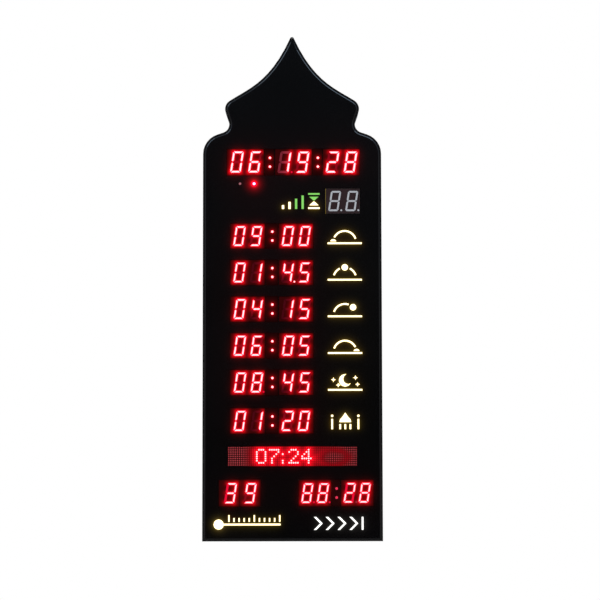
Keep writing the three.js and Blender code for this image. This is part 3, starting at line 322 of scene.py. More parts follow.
class Maker:
    """Points and faces of one piece: across, depth from the wall and height, in millimetres."""

    def __init__(self):
        self.points = []
        self.faces = []
        self.kinds = []
        self.smooth = []

    def face(self, corners, kind, smooth=False):
        self.faces.append(corners)
        self.kinds.append(kind)
        self.smooth.append(smooth)

    def loft(self, rings, kinds, smooth=False):
        """Skins from ring to ring; a ring of one point is an apex, and open ends get caps."""
        starts = []
        for loop in rings:
            starts.append(len(self.points))
            self.points.extend(loop)
        ends = [(start, len(loop)) for start, loop in zip(starts, rings)]
        for near, far, kind in zip(ends, ends[1:], kinds):
            self.band(near, far, kind, smooth)
        for (start, count), kind, turn in ((ends[0], kinds[0], -1), (ends[-1], kinds[-1], 1)):
            if count > 1:
                self.face(list(range(start, start + count))[::turn], kind)

    def band(self, near, far, kind, smooth):
        """Faces between two rings; where one is a point, its two corners there are one."""
        (first, count), (second, others) = near, far
        total = max(count, others)
        for place in range(total):
            after = (place + 1) % total
            here = [first + place % count, first + after % count]
            there = [second + after % others, second + place % others]
            self.face(list(dict.fromkeys(here + there)), kind, smooth)


def ring(loop, depth):
    return [(x, depth, z) for x, z in loop]


def arc(x, z, radius, start, sweep, steps):
    """Points of an arc, both ends with it."""
    turns = [start + step / steps * sweep for step in range(steps + 1)]
    return [(x + radius * math.cos(turn), z + radius * math.sin(turn)) for turn in turns]


def circle(x, z, radius, sides):
    return arc(x, z, radius, 0, 2 * math.pi, sides)[:-1]


def rounded_loop(x, z, width, height, radius, steps=CORNER_STEPS):
    """A rectangle with round corners, counterclockwise seen from the front."""
    points = []
    for turn, (across, up) in enumerate([(1, -1), (1, 1), (-1, 1), (-1, -1)]):
        centre = (x + across * (width / 2 - radius), z + up * (height / 2 - radius))
        points += arc(*centre, radius, (turn - 1) * math.pi / 2, math.pi / 2, steps)
    return points


def outline(box, draw=0.0, radius=SHELL_CORNER, steps=CORNER_STEPS):
    """A box's shape from the front with round corners, drawn in evenly by a distance."""
    return rounded_loop(*box.middle, box.width - draw * 2, box.height - draw * 2, radius, steps)


def inset(loop, distance):
    """A counterclockwise loop drawn in evenly on every side."""
    points = [Vector(point) for point in loop]
    drawn = []
    for place, point in enumerate(points):
        before = (point - points[place - 1]).normalized()
        after = (points[(place + 1) % len(points)] - point).normalized()
        sides = [Vector((-run.y, run.x)) for run in (before, after)]
        pull = (sides[0] + sides[1]) * (distance / (1 + sides[0].dot(sides[1])))
        drawn.append(tuple(point + pull))
    return drawn


def turned(maker, x, z, profile, kinds, sides, smooth=True):
    """A turned form on an axis from back to front, by radius and depth."""
    rings = []
    for radius, depth in profile:
        loop = circle(x, z, radius, sides) if radius else [(x, z)]
        rings.append(ring(loop, depth))
    maker.loft(rings, kinds, smooth)


def bead(radius, back, top, shares):
    """The profile of a round part in low relief."""
    return [(radius, back)] + [(radius * across, top + RELIEF * up) for across, up in shares]


@contextmanager
def editing(mesh):
    """Opens a mesh for changes and stores them at the end."""
    work = bmesh.new()
    work.from_mesh(mesh)
    yield work
    work.to_mesh(mesh)
    work.free()


def make_mesh(name, maker, *kinds, **renamed):
    """A mesh with a surface for each kind, some of which may go by another surface's name."""
    mesh = bpy.data.meshes.new(name)
    places = [(x * MM, -depth * MM, z * MM) for x, depth, z in maker.points]
    mesh.from_pydata(places, [], maker.faces)
    for kind in kinds:
        mesh.materials.append(surfaces[renamed.get(kind, kind)])
    for polygon, kind, smooth in zip(mesh.polygons, maker.kinds, maker.smooth):
        polygon.material_index = kinds.index(kind)
        polygon.use_smooth = smooth
    with editing(mesh) as work:
        bmesh.ops.recalc_face_normals(work, faces=work.faces)
    return mesh


def turned_mesh(name, place, profile, kind, sides, smooth=True):
    """A turned form of one material."""
    maker = Maker()
    turned(maker, *place, profile, [kind] * (len(profile) - 1), sides, smooth)
    return make_mesh(name, maker, kind)


def put(name, mesh):
    item = bpy.data.objects.new(name, mesh)
    bpy.context.scene.collection.objects.link(item)
    return item


def show(name, mesh, nodes, body="casing"):
    """Puts a mesh in the scene as a piece that rides on a body and stands for CAD nodes."""
    piece = put(name, mesh)
    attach(piece, body)
    if nodes:
        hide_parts(*nodes)


def subtract(mesh, tool, overlapping=False):
    """A mesh with another cut out of it, whose own parts may overlap."""
    holder, cutter = put("kept", mesh), put("tool", tool)
    carve = holder.modifiers.new("cut", "BOOLEAN")
    carve.operation = "DIFFERENCE"
    carve.solver = "EXACT"
    carve.use_self = overlapping
    carve.object = cutter
    view = bpy.context.evaluated_depsgraph_get()
    result = bpy.data.meshes.new_from_object(holder.evaluated_get(view))
    for item in (holder, cutter):
        bpy.data.objects.remove(item)
    return result


class Tree:
    """Adds nodes to a material, a world or the compositor."""

    def __init__(self, holder):
        holder.use_nodes = True
        self.nodes = holder.node_tree.nodes
        self.links = holder.node_tree.links

    def fill(self, node, sockets):
        """Sets sockets to values, or links them to other nodes' outputs."""
        for key, value in sockets.items():
            if isinstance(value, bpy.types.NodeSocket):
                self.links.new(value, node.inputs[key])
            else:
                node.inputs[key].default_value = value

    def add(self, kind, output, sockets=None, **values):
        """A new node's output."""
        node = self.nodes.new(kind)
        for key, value in values.items():
            setattr(node, key, value)
        self.fill(node, sockets or {})
        return node.outputs[output]

    def place(self):
        return self.add("ShaderNodeTexCoord", "Object")

    def noise(self, scale, detail, stretch):
        place = self.add("ShaderNodeMapping", "Vector", {"Vector": self.place(), "Scale": stretch})
        sockets = {"Vector": place, "Scale": scale, "Detail": detail}
        return self.add("ShaderNodeTexNoise", "Fac", sockets)

    def cells(self, scale):
        return self.add("ShaderNodeTexVoronoi", "Distance", {"Vector": self.place(), "Scale": scale})

    def stripes(self, scale, direction):
        sockets = {"Vector": self.place(), "Scale": scale}
        return self.add("ShaderNodeTexWave", "Fac", sockets, bands_direction=direction)

    def blend(self, factor, dark, light):
        colour = self.add("ShaderNodeValToRGB", "Color", {"Fac": factor})
        steps = zip(colour.node.color_ramp.elements, RAMP_PLACES, (dark, light))
        for step, place, shade in steps:
            step.position = place
            step.color = (*shade, 1)
        return colour

    def spread(self, factor, low, high):
        return self.add("ShaderNodeMapRange", "Result", {"Value": factor, "To Min": low, "To Max": high})

    def maths(self, operation, *values):
        return self.add("ShaderNodeMath", 0, dict(enumerate(values)), operation=operation)

    def caught_light(self):
        return self.add("ShaderNodeAttribute", "Fac", attribute_name="glow")

    def relief(self, factor, depth):
        sockets = {"Strength": 1.0, "Distance": depth * MM, "Height": factor}
        return self.add("ShaderNodeBump", "Normal", sockets)


# Patterns: each gives a material's own colour and relief factors
RAMP_PLACES = (0.3, 0.7)
PATCH_DETAIL = 4.0
GRAIN_DETAIL = 2.0
LEATHER_CELLS = 650.0
SPANGLE_CELLS = 160.0
TRACK_LINES = (95.0, 70.0)
RIBBON_WIRES = 250.0
CLOTH_THREADS = 520.0
MILKY = (0.5, 0.62)
MILKY_LOSS = -1.6


def leather_pattern(tree, patch, fine):
    return patch, tree.cells(LEATHER_CELLS)


def spangle_pattern(tree, patch, fine):
    return tree.cells(SPANGLE_CELLS), fine


def track_pattern(tree, patch, fine):
    """Copper tracks under the solder mask, as two sets of broken lines."""
    across, up = TRACK_LINES
    lines = tree.maths("MAXIMUM", tree.stripes(across, "X"), tree.stripes(up, "Z"))
    broken = tree.maths("MULTIPLY", lines, patch)
    return broken, broken


def ribbon_pattern(tree, patch, fine):
    lines = tree.stripes(RIBBON_WIRES, "X")
    return lines, lines


def cloth_pattern(tree, patch, fine):
    weave = tree.maths("MULTIPLY", tree.stripes(CLOTH_THREADS, "X"), tree.stripes(CLOTH_THREADS, "Z"))
    return weave, weave


def dot_pattern(tree, patch, fine):
    """Milky where no light falls, and as red as the light itself where much does."""
    return tree.maths("MULTIPLY_ADD", tree.caught_light(), MILKY_LOSS, tree.spread(patch, *MILKY)), fine


PATTERNS = {
    "rear_cover": leather_pattern,
    "hanger_steel": spangle_pattern,
    "circuit_board": track_pattern,
    "ribbon": ribbon_pattern,
    "matrix_dot": dot_pattern,
    "grille_cloth": cloth_pattern,
}

# Steels whose patches are squeezed along the height
STRETCHES = {"screw_steel": (1, 1, 6), "cell_steel": (1, 1, 8)}

# Looks: light and dark patches and their scale, roughness and its spread, depth of the relief,
# specular, scale of the relief, metal, colour and strength of glow, and gain of the light caught
Finish = namedtuple(
    "Finish", "light dark scale rough spread bump specular grain metal glow strength gain",
    defaults=(0.1, 0.05, 0.5, 900, 0.0, (0, 0, 0), 0.0, 0.0),
)
RED = (1, 0.0015, 0.009)
LED_SCALE = 240
LENS_SCALE = 300
LEGEND_SCALE = 260
EDGE = ((0.003, 0.003, 0.0035), (0.0015, 0.0015, 0.002), 24)
LENS = ((0.9, 0.6, 0.64), (0.84, 0.5, 0.56), LENS_SCALE)


def led(light, dark, scale, rough, specular, glow, strength, gain=0.0, **changes):
    """A finish that glows."""
    glowing = dict(specular=specular, glow=glow, strength=strength, gain=gain)
    return Finish(light, dark, scale, rough, **glowing, **changes)


def legend(light, dark, glow, strength):
    return led(light, dark, LEGEND_SCALE, 0.5, 0.1, glow, strength)


LOOKS = {
    "face_sheet": Finish((0.0012, 0.0012, 0.0015), (0.0008, 0.0008, 0.001), 9, 0.12, 0.05, 0.003, 0.5, 2200),
    "face_edge": Finish(*EDGE, 0.12, 0.08, 0.006, 0.5, 1500),
    # Darker, less glossy copy of the edge finish for edges that face down: painted shade
    "face_edge_shaded": Finish(*EDGE, 0.4, 0.1, 0.01, 0.08, 1500),
    "casing": Finish((0.0045, 0.0047, 0.0052), (0.003, 0.0031, 0.0035), 26, 0.36, 0.14, 0.02, 0.4, 2600),
    "rear_cover": Finish((0.017, 0.017, 0.019), (0.011, 0.011, 0.012), 18, 0.62, 0.14, 0.12, 0.35),
    "hanger_steel": Finish((0.64, 0.65, 0.67), (0.42, 0.43, 0.46), 40, 0.3, 0.16, 0.01, 0.5, 700, 1.0),
    "screw_steel": Finish((0.6, 0.6, 0.61), (0.36, 0.36, 0.38), 420, 0.28, 0.2, 0.02, 0.5, 2400, 1.0),
    "cell_steel": Finish((0.7, 0.7, 0.7), (0.5, 0.5, 0.52), 300, 0.22, 0.1, 0.006, 0.5, 2600, 1.0),
    "milk_diffuser": Finish((0.85, 0.83, 0.72), (0.78, 0.76, 0.64), 60, 0.55, 0.1, 0.01, 0.3),
    "circuit_board": Finish((0.012, 0.05, 0.02), (0.003, 0.016, 0.006), 60, 0.35, 0.12, 0.03, 0.4),
    "black_plastic": Finish((0.013, 0.013, 0.014), (0.008, 0.008, 0.009), 90, 0.42, 0.14, 0.02, 0.4, 2600),
    "rocker_plastic": Finish(
        (0.011, 0.011, 0.012), (0.007, 0.007, 0.008), 110, 0.22, 0.12, 0.006, 0.5, 1900,
    ),
    "button_plastic": Finish((0.05, 0.05, 0.053), (0.033, 0.033, 0.035), 180, 0.55, 0.14, 0.03, 0.35, 2600),
    "ribbon": Finish((0.34, 0.35, 0.37), (0.2, 0.21, 0.23), 80, 0.5, 0.1, 0.15, 0.35),
    "speaker_metal": Finish((0.022, 0.022, 0.023), (0.013, 0.013, 0.014), 60, 0.45, 0.14, 0.02, 0.4),
    "speaker_paper": Finish((0.045, 0.045, 0.048), (0.024, 0.024, 0.026), 500, 0.85, 0.1, 0.06, 0.2, 1500),
    "grille_cloth": Finish((0.02, 0.02, 0.021), (0.008, 0.008, 0.009), 90, 0.9, 0.05, 0.1, 0.1),
    "pale": Finish((0.44, 0.46, 0.5), (0.375, 0.395, 0.43), LED_SCALE, 0.3, 0.1, 0.01, 0.4),
    "grey_face": Finish((0.031, 0.015, 0.0175), (0.022, 0.01, 0.012), 60, 0.38, 0.12, 0.008, 0.3),
    "grey_shell": Finish((0.05, 0.036, 0.04), (0.036, 0.025, 0.028), 70, 0.4, 0.1, 0.01, 0.3),
    "floor": Finish((0.8, 0.8, 0.8), (0.76, 0.76, 0.76), 2, 0.9, specular=0.1),
    "shell": led(
        (0.009, 0.0004, 0.0008), (0.005, 0.0002, 0.0005), 70, 0.45, 0.06, RED, 0.002, 0.36, bump=0.01,
    ),
    "face": led(
        (0.02, 0.0002, 0.0004), (0.013, 0.0001, 0.0002), 55, 0.32, 0.06, RED, 0.014, 0.55,
        spread=0.12, bump=0.008,
    ),
    "colon_plate": led(
        (0.006, 0.0002, 0.0003), (0.004, 0.0001, 0.0002), 60, 0.4, 0.06, RED, 0.004, 0.24,
        spread=0.12, bump=0.01,
    ),
    "matrix_plate": led(
        (0.012, 0.002, 0.003), (0.007, 0.001, 0.0015), 120, 0.45, 0.06, (1, 0.0004, 0.008), 0.004, 0.74,
    ),
    "matrix_dot": led(
        (0.52, 0.064, 0.074), (0.05, 0.0005, 0.003), 150, 0.4, 0.08, (1, 0.002, 0.014), 0.03, 1.25,
    ),
    "rim": led((0.5, 0.02, 0.05), (0.4, 0.01, 0.04), LENS_SCALE, 0.4, 0.2, (1, 0.02, 0.05), 1.5),
    "core": led(*LENS, 0.4, 0.2, (1, 0.147, 0.156), 3.2),
    "lamp_core": led(*LENS, 0.2, 0.4, (1, 0.017, 0.036), 64.0),
    "lamp_cold": led(
        (0.42, 0.18, 0.21), (0.32, 0.12, 0.15), LENS_SCALE, 0.22, 0.5, (1, 0.3, 0.34), 0.14, bump=0.004,
    ),
    "faint": led(
        (0.022, 0.0008, 0.004), (0.015, 0.0005, 0.003), LED_SCALE, 0.35, 0.06,
        (1, 0.002, 0.024), 0.035, 0.2,
    ),
    "ghost": led(
        (0.11, 0.013, 0.023), (0.085, 0.009, 0.016), LED_SCALE, 0.35, 0.1, (1, 0.04, 0.09), 0.09, 0.3,
    ),
    "glow": led((0.1, 0.0008, 0.006), (0.08, 0.0005, 0.004), LED_SCALE, 0.35, 0.06, (1, 0.001, 0.036), 0.75),
    "dim_dot": led((0.3, 0.02, 0.05), (0.24, 0.015, 0.04), LED_SCALE, 0.35, 0.3, (1, 0.015, 0.07), 0.6),
    "sheen": led((0.14, 0.1, 0.02), (0.1, 0.07, 0.012), 110, 0.4, 0.3, (1, 0.7, 0.12), 0.1, bump=0.01),
    "legend_warm": legend((0.95, 0.9, 0.7), (0.9, 0.84, 0.62), (1, 0.78, 0.46), 1.5),
    "legend_warm_edge": legend((0.9, 0.8, 0.35), (0.8, 0.7, 0.28), (1, 0.78, 0.3), 0.85),
    "legend_green": legend((0.1, 0.32, 0.07), (0.07, 0.26, 0.05), (0.38, 1, 0.2), 0.43),
    "legend_green_edge": legend((0.08, 0.24, 0.05), (0.06, 0.2, 0.04), (0.3, 0.8, 0.1), 0.4),
    "legend_white": legend((0.9, 0.9, 0.88), (0.84, 0.84, 0.82), (1, 0.98, 0.94), 1.0),
    "legend_white_edge": legend((0.7, 0.7, 0.68), (0.62, 0.62, 0.6), (1, 0.97, 0.92), 0.42),
}


def surface(name, look):
    """A principled material from a look, with procedural colour, gloss and relief."""
    material = bpy.data.materials.new(name)
    tree = Tree(material)
    stretch = STRETCHES.get(name, (1, 1, 1))
    patch = tree.noise(look.scale, PATCH_DETAIL, stretch)
    fine = tree.noise(look.grain, GRAIN_DETAIL, stretch)
    colour, height = PATTERNS[name](tree, patch, fine) if name in PATTERNS else (patch, fine)
    node = tree.nodes["Principled BSDF"]
    tree.fill(node, {
        "Base Color": tree.blend(colour, look.dark, look.light),
        "Roughness": tree.spread(patch, look.rough - look.spread / 2, look.rough + look.spread / 2),
        "Normal": tree.relief(height, look.bump),
        "Metallic": look.metal,
        "Specular IOR Level": look.specular,
        "Emission Color": (*look.glow, 1),
        "Emission Strength": look.strength,
    })
    if look.gain:
        light = tree.maths("MULTIPLY_ADD", tree.caught_light(), look.gain, look.strength)
        tree.fill(node, {"Emission Strength": light})
    return material


surfaces = {name: surface(name, look) for name, look in LOOKS.items()}


# Twin-digit displays
def bar_loop(figures, letter):
    """The outline of one bar about its figure's middle, leaning with the figure."""
    form, across, up = BARS[letter]
    side, top = figures.width / 2, figures.height / 2
    stroke, half = figures.stroke, figures.stroke / 2
    gap, cut, low = SEGMENT_GAP, OUTER_CUT, half + MIDDLE_GAP
    if form == "end":
        outer, corner, inner = gap + cut - side, gap + cut / 2 - side, gap + stroke - side
        left = [(outer, top), (corner, top - cut / 2), (inner, top - stroke)]
        loop = left + [(-x, z) for x, z in reversed(left)]
    elif form == "side":
        loop = [
            (-side, top - gap - cut), (-side, low), (half - side, MIDDLE_GAP), (stroke - side, low),
            (stroke - side, top - stroke - gap), (cut / 2 - side, top - gap - cut / 2),
        ]
    else:
        lower = [(half + gap - side, 0), (stroke + gap - side, -half), (side - stroke - gap, -half)]
        loop = lower + [(-x, -z) for x, z in lower]
    loop = [(x * across + z * up * SLANT, z * up) for x, z in loop]
    return loop if across * up > 0 else loop[::-1]


def add_bar(maker, loop, face, kind, rim):
    """A bar in low relief with an eased edge; a lit bar has a bright core inside its rim."""
    front = face + FACE_SINK + RELIEF
    rings = [
        ring(loop, face - RELIEF),
        ring(loop, front - BAR_EDGE),
        ring(inset(loop, BAR_EDGE), front),
        ring(inset(loop, rim), front),
    ]
    maker.loft(rings, ["rim" if kind == "core" else kind] * 3)
    maker.kinds[-1] = kind


def add_point(maker, x, z, face, kind):
    outside = "rim" if kind == "core" else kind
    profile = bead(POINT_RADIUS, face - RELIEF, face + FACE_SINK + RELIEF, POINT_SHARES)
    turned(maker, x, z, profile, [outside, outside, kind], sides=16, smooth=False)


def block(box, back, top):
    """The rings of a block with an eased front edge."""
    side = outline(box)
    return [ring(side, back), ring(side, top - SHELL_EDGE), ring(outline(box, SHELL_EDGE), top)]


def add_shell(maker, box):
    """A block with its face sunk a little inside its rim."""
    top = box.front - RELIEF
    rim, face = outline(box, SHELL_RIM - FACE_SINK), outline(box, SHELL_RIM)
    rings = block(box, box.back, top) + [ring(rim, top), ring(face, top - FACE_SINK)]
    maker.loft(rings, ["shell"] * 4)
    maker.kinds[-1] = "face"
    return top - FACE_SINK


def add_figures(maker, reading, x, z, face):
    """Two figures and their points about a middle; gives the outlines of the lit bars."""
    figures = reading.figures
    lit = []
    places = [x + side * figures.pitch / 2 for side in (-1, 1)]
    for place, text, ghost, point in zip(places, reading.text, reading.ghosts, reading.points):
        for letter in BARS:
            kind = "core" if letter in LIT_BARS[text] else ghost
            loop = [(place + across, z + up) for across, up in bar_loop(figures, letter)]
            add_bar(maker, loop, face, kind, figures.rim)
            if kind == "core":
                lit.append(loop)
        right, low = place + figures.width / 2, z - figures.height / 2
        add_point(maker, right + POINT_OFFSET, low + POINT_RADIUS, face, point)
    return lit


def build_display(reading):
    node, name = reading.name + "_module", reading.name + "_display"
    box = span(node)
    x, z = box.middle
    maker = Maker()
    if reading.name == "temperature":
        add_shell(maker, box._replace(right=x - SEAM))
        face = add_shell(maker, box._replace(left=x + SEAM))
    else:
        face = add_shell(maker, box)
    lit = add_figures(maker, reading, x + reading.shift, z + reading.rise, face)
    cold = reading.name == "remaining"
    if cold:
        tint_left_edge(maker, box)
    renamed = {"shell": "grey_shell", "face": "grey_face"} if cold else {}
    mesh = make_mesh(name, maker, *KINDS, **renamed)
    for kind in ("face", "shell"):
        divide_faces(mesh, KINDS.index(kind))
    spines = [spine_of(loop) for loop in lit]
    figures = reading.figures
    shade(mesh, lambda x, z: figures.wash * bar_glow(x, z, spines, figures.stroke / 2))
    show(name, mesh, [node])


def tint_left_edge(maker, box):
    """The unlit module's left rim catches the legend's yellow light."""
    for place, corners in enumerate(maker.faces):
        across = [maker.points[corner][0] for corner in corners]
        if max(across) < box.left + SHELL_RIM * 2 and maker.kinds[place] == "shell":
            maker.kinds[place] = "sheen"


def spine_of(loop):
    """The middle line of a bar, between the two ends that lie furthest apart."""
    points = [Vector(point) for point in loop]
    pairs = [(a, b) for a in points for b in points]
    far = max(pairs, key=lambda pair: (pair[0] - pair[1]).length)
    centre = sum(points, Vector((0, 0))) / len(points)
    half = (far[1] - far[0]) / 2
    return centre - half, centre + half


def fading(distance):
    """Caught light at a distance from the edge of what is lit."""
    return math.exp(-max(0.0, distance) / GLOW_REACH)


def bar_glow(x, z, spines, half):
    """How much of the bars' light a spot on the face catches."""
    spot = Vector((x, z))
    total = 0.0
    for start, end in spines:
        run = end - start
        share = min(1.0, max(0.0, (spot - start).dot(run) / run.dot(run)))
        total += fading((spot - start - run * share).length - half)
    return min(total, GLOW_MOST)


def divide_faces(mesh, kind):
    """Cuts the flat faces of one kind into small squares, so that they can hold graded light."""
    with editing(mesh) as work:
        for axis in (0, 2):
            chosen = [face for face in work.faces if face.material_index == kind]
            places = [vert.co[axis] for face in chosen for vert in face.verts]
            low, reach = min(places), max(places) - min(places)
            steps = round(reach / (GLOW_PITCH * MM))
            for step in range(1, steps):
                cut_across(work, kind, axis, low + reach * step / steps)


def cut_across(work, kind, axis, place):
    """Cuts the faces of one kind that cross a place on an axis."""
    chosen = []
    for face in work.faces:
        places = [vert.co[axis] for vert in face.verts]
        if face.material_index == kind and min(places) < place < max(places):
            chosen.append(face)
    edges = dict.fromkeys(edge for face in chosen for edge in face.edges)
    verts = dict.fromkeys(vert for face in chosen for vert in face.verts)
    normal = Vector((axis == 0, 0, axis == 2))
    bmesh.ops.bisect_plane(
        work, geom=[*chosen, *edges, *verts], plane_co=normal * place, plane_no=normal, dist=CUT_NEAR * MM,
    )


def shade(mesh, light):
    """Stores the light that each point of a mesh catches, by a function of its place."""
    layer = mesh.attributes.new("glow", "FLOAT", "POINT")
    for value, vertex in zip(layer.data, mesh.vertices):
        value.value = light(vertex.co.x / MM, vertex.co.z / MM)


# Colons
def colon_dots(x, z):
    return [(x + COLON_SHIFT, z + side * COLON_RISE) for side in (-1, 1)]


def add_colon(maker, x, z, face, lit):
    outside, inside = ("rim", "core") if lit else ("dim_dot", "dim_dot")
    profile = bead(COLON_RADIUS, face - RELIEF, face + RELIEF, COLON_SHARES)
    for across, up in colon_dots(x, z):
        turned(maker, across, up, profile, [outside, outside, inside, inside], sides=20)


def add_plate(maker, box, back, top):
    maker.loft(block(box, back, top), ["plate_side"] * 2)
    maker.kinds[-1] = "colon_plate"


def colon_mesh(name, maker, centres):
    """The mesh of a plate whose front is lit round the dots about some centres."""
    mesh = make_mesh(name, maker, *COLON_KINDS, plate_side="colon_plate")
    divide_faces(mesh, COLON_KINDS.index("colon_plate"))
    dots = [Vector(dot) for centre in centres for dot in colon_dots(*centre)]
    shade(mesh, lambda x, z: sum(fading((Vector((x, z)) - dot).length - COLON_RADIUS) for dot in dots))
    return mesh


def build_colon(node, lit):
    box = span(node)
    maker = Maker()
    top = box.front - RELIEF
    add_plate(maker, box, box.back, top)
    add_colon(maker, *box.middle, top, lit)
    name = node + "_plate"
    mesh = colon_mesh(name, maker, [box.middle] if lit else [])
    show(name, mesh, [node])


def build_prayer_colons():
    """One spine behind the face with a pad and two dots for each prayer row."""
    box = span("prayer_colon_strip")
    maker = Maker()
    top = box.front - RELIEF
    spine = box.back + SPINE
    centres = []
    add_plate(maker, box, box.back, spine)
    for row in range(1, PRAYER_ROWS + 1):
        module = span(f"prayer_{row}_hours_module")
        pad = box._replace(low=module.low, high=module.high)
        add_plate(maker, pad, spine - RELIEF, top)
        centres.append(pad.middle)
        add_colon(maker, *centres[-1], top, True)
    mesh = colon_mesh("prayer_colons", maker, centres)
    show("prayer_colons", mesh, ["prayer_colon_strip"])


# Dot matrix line
def lit_dots():
    return {
        (first + column, row + MATRIX_TEXT_ROW)
        for first, glyph in GLYPHS.items()
        for row, line in enumerate(glyph.split())
        for column, mark in enumerate(line)
        if mark == "#"
    }


def falloff(light, distance):
    strength, reach = light
    return strength * math.exp(-((distance / reach) ** 2))


def matrix_wash(column, row, lit):
    """How strongly the lit dots' light reaches a spot between the dots."""
    nearest = min(math.hypot(column - across, row - up) for across, up in lit)
    sine, cosine = (a * column + b * row for a, b in (RIPPLE_SINE, RIPPLE_COSINE))
    ripple = RIPPLE_MEAN + RIPPLE_DEPTH * math.sin(sine) * math.cos(cosine)
    patch = falloff(PATCH_LIGHT, column - PATCH_COLUMN) * ripple
    across, up = (column - RING_CENTRE[0]) / RING_RADII[0], (row - RING_CENTRE[1]) / RING_RADII[1]
    oval = falloff(RING_LIGHT, math.hypot(across, up) - 1)
    return falloff(NEAR_LIGHT, nearest) + falloff(FAR_LIGHT, nearest) + patch + oval


def build_matrix():
    box = span("dot_matrix_display")
    maker = Maker()
    columns = round(box.width / MATRIX_PITCH)
    rows = round(box.height / MATRIX_PITCH)
    top = box.front - RELIEF
    add_matrix_body(maker, box, top, columns, rows)
    lit = lit_dots()
    for column in range(columns):
        for row in range(rows):
            x = box.left + (column + 0.5) * MATRIX_PITCH
            z = box.high - (row + 0.5) * MATRIX_PITCH
            kind, radius = ("core", LIT_DOT_RADIUS) if (column, row) in lit else ("matrix_dot", DOT_RADIUS)
            turned(maker, x, z, bead(radius, top - RELIEF, top, DOT_SHARES), [kind] * 3, sides=10)
    mesh = make_mesh("dot_matrix", maker, "core", "shell", "matrix_plate", "matrix_dot")

    def wash(x, z):
        return matrix_wash((x - box.left) / MATRIX_PITCH - 0.5, (box.high - z) / MATRIX_PITCH - 0.5, lit)

    shade(mesh, wash)
    show("dot_matrix", mesh, ["dot_matrix_display"])


def add_matrix_body(maker, box, top, columns, rows):
    """The block behind the dots, its front split into cells so that each takes its own wash."""
    start, wide = len(maker.points), columns + 1
    for row in range(rows + 1):
        for column in range(wide):
            maker.points.append((box.left + column * MATRIX_PITCH, top, box.high - row * MATRIX_PITCH))
    for row in range(rows):
        for column in range(columns):
            corner = start + row * wide + column
            maker.face([corner, corner + wide, corner + wide + 1, corner + 1], "matrix_plate")
    edge = [(column, 0) for column in range(columns)] + [(columns, row) for row in range(rows)]
    edge += [(columns - column, rows - row) for column, row in edge]
    rim = [start + row * wide + column for column, row in edge]
    behind = len(maker.points)
    maker.points.extend((maker.points[corner][0], box.back, maker.points[corner][2]) for corner in rim)
    for place, corner in enumerate(rim):
        after = (place + 1) % len(rim)
        maker.face([corner, rim[after], behind + after, behind + place], "shell")
    maker.face([behind + place for place in range(len(rim))], "shell")


# Round lamps
def build_lamp(node, lit):
    box = span(node)
    flange, seat, shoulder = box.width / 2, box.back + LAMP_FLANGE, box.front - LAMP_RADIUS
    outside, inside = ("rim", "lamp_core") if lit else ("lamp_cold", "lamp_cold")
    dome = arc(0, shoulder, LAMP_RADIUS, 0, math.pi / 2, LAMP_STEPS)[:-1]
    profile = [(flange, box.back), (flange, seat), (LAMP_RADIUS, seat), *dome, (0, box.front)]
    maker = Maker()
    turned(maker, *box.middle, profile, [outside] * 3 + [inside] * LAMP_STEPS, sides=28)
    name = node.replace("indicator", "round")
    mesh = make_mesh(name, maker, "lamp_cold", "rim", "lamp_core")
    show(name, mesh, [node])


# Face panel and its glowing legends
def welded(node, name):
    """A new mesh of a CAD node's shape with its split corners joined."""
    mesh = bpy.data.meshes.new(name)
    with editing(mesh) as work:
        work.from_mesh(frame["nodes"][node].data)
        bmesh.ops.remove_doubles(work, verts=work.verts, dist=WELD * MM)
    return mesh


def build_panel():
    """The bevelled sheet, with its face, its polished edges and its bottom edge told apart; the bottom edge
    gets a darker, less glossy copy of the edge finish as painted shade.
    """
    mesh = welded("front_panel", "face_panel")
    with editing(mesh) as work:
        bmesh.ops.dissolve_limit(work, angle_limit=ONE_PLANE, verts=work.verts[:], edges=work.edges[:])
        for face in work.faces:
            # Edges facing down get the darker copy of the edge finish, as painted shade
            flat, shaded_below = abs(face.normal.y) > FLAT_FACING, face.normal.z < SHADE_FACING
            face.material_index = 0 if flat else 2 if shaded_below else 1
            face.smooth = False
    for name in ("face_sheet", "face_edge", "face_edge_shaded"):
        mesh.materials.append(surfaces[name])
    show("face_panel", mesh, ["front_panel"])


def build_legend(name, look, green=None):
    """A thin lit sheet behind the face whose raised symbols fill the cuts in the panel."""
    light = span(f"legend_light_{name}")
    front = span("front_panel").front - LEGEND_SINK
    loop = outline(light, radius=LEGEND_CORNER)
    maker = Maker()
    maker.loft([ring(loop, light.front + LEGEND_GAP), ring(loop, front)], [look])
    mesh = subtract(make_mesh("sheet", maker, look), welded("front_panel", "panel"))
    mesh.materials.clear()
    for colour in [look, "legend_green"] if green else [look]:
        mesh.materials.append(surfaces[colour])
        mesh.materials.append(surfaces[colour + "_edge"])
    dress_legend(mesh, -front * MM, green)
    show(f"legend_{name}", mesh, [])


def dress_legend(mesh, level, green):
    """Gives each raised symbol a bright middle and a dimmer edge, green in one area."""
    with editing(mesh) as work:
        bmesh.ops.remove_doubles(work, verts=work.verts, dist=WELD * MM)
        for face in work.faces:
            face.material_index = 1
            face.smooth = False
        near = CAP_NEAR * MM
        caps = [face for face in work.faces if all(abs(vert.co.y - level) < near for vert in face.verts)]
        bmesh.ops.inset_region(work, faces=caps, thickness=LEGEND_EDGE * MM, use_even_offset=True)
        for face in caps:
            face.material_index = 0
        for face in work.faces if green else ():
            spot = face.calc_center_median() / MM
            if green.left < spot.x < green.right or (spot.x > green.right and spot.z > green.level):
                face.material_index += 2


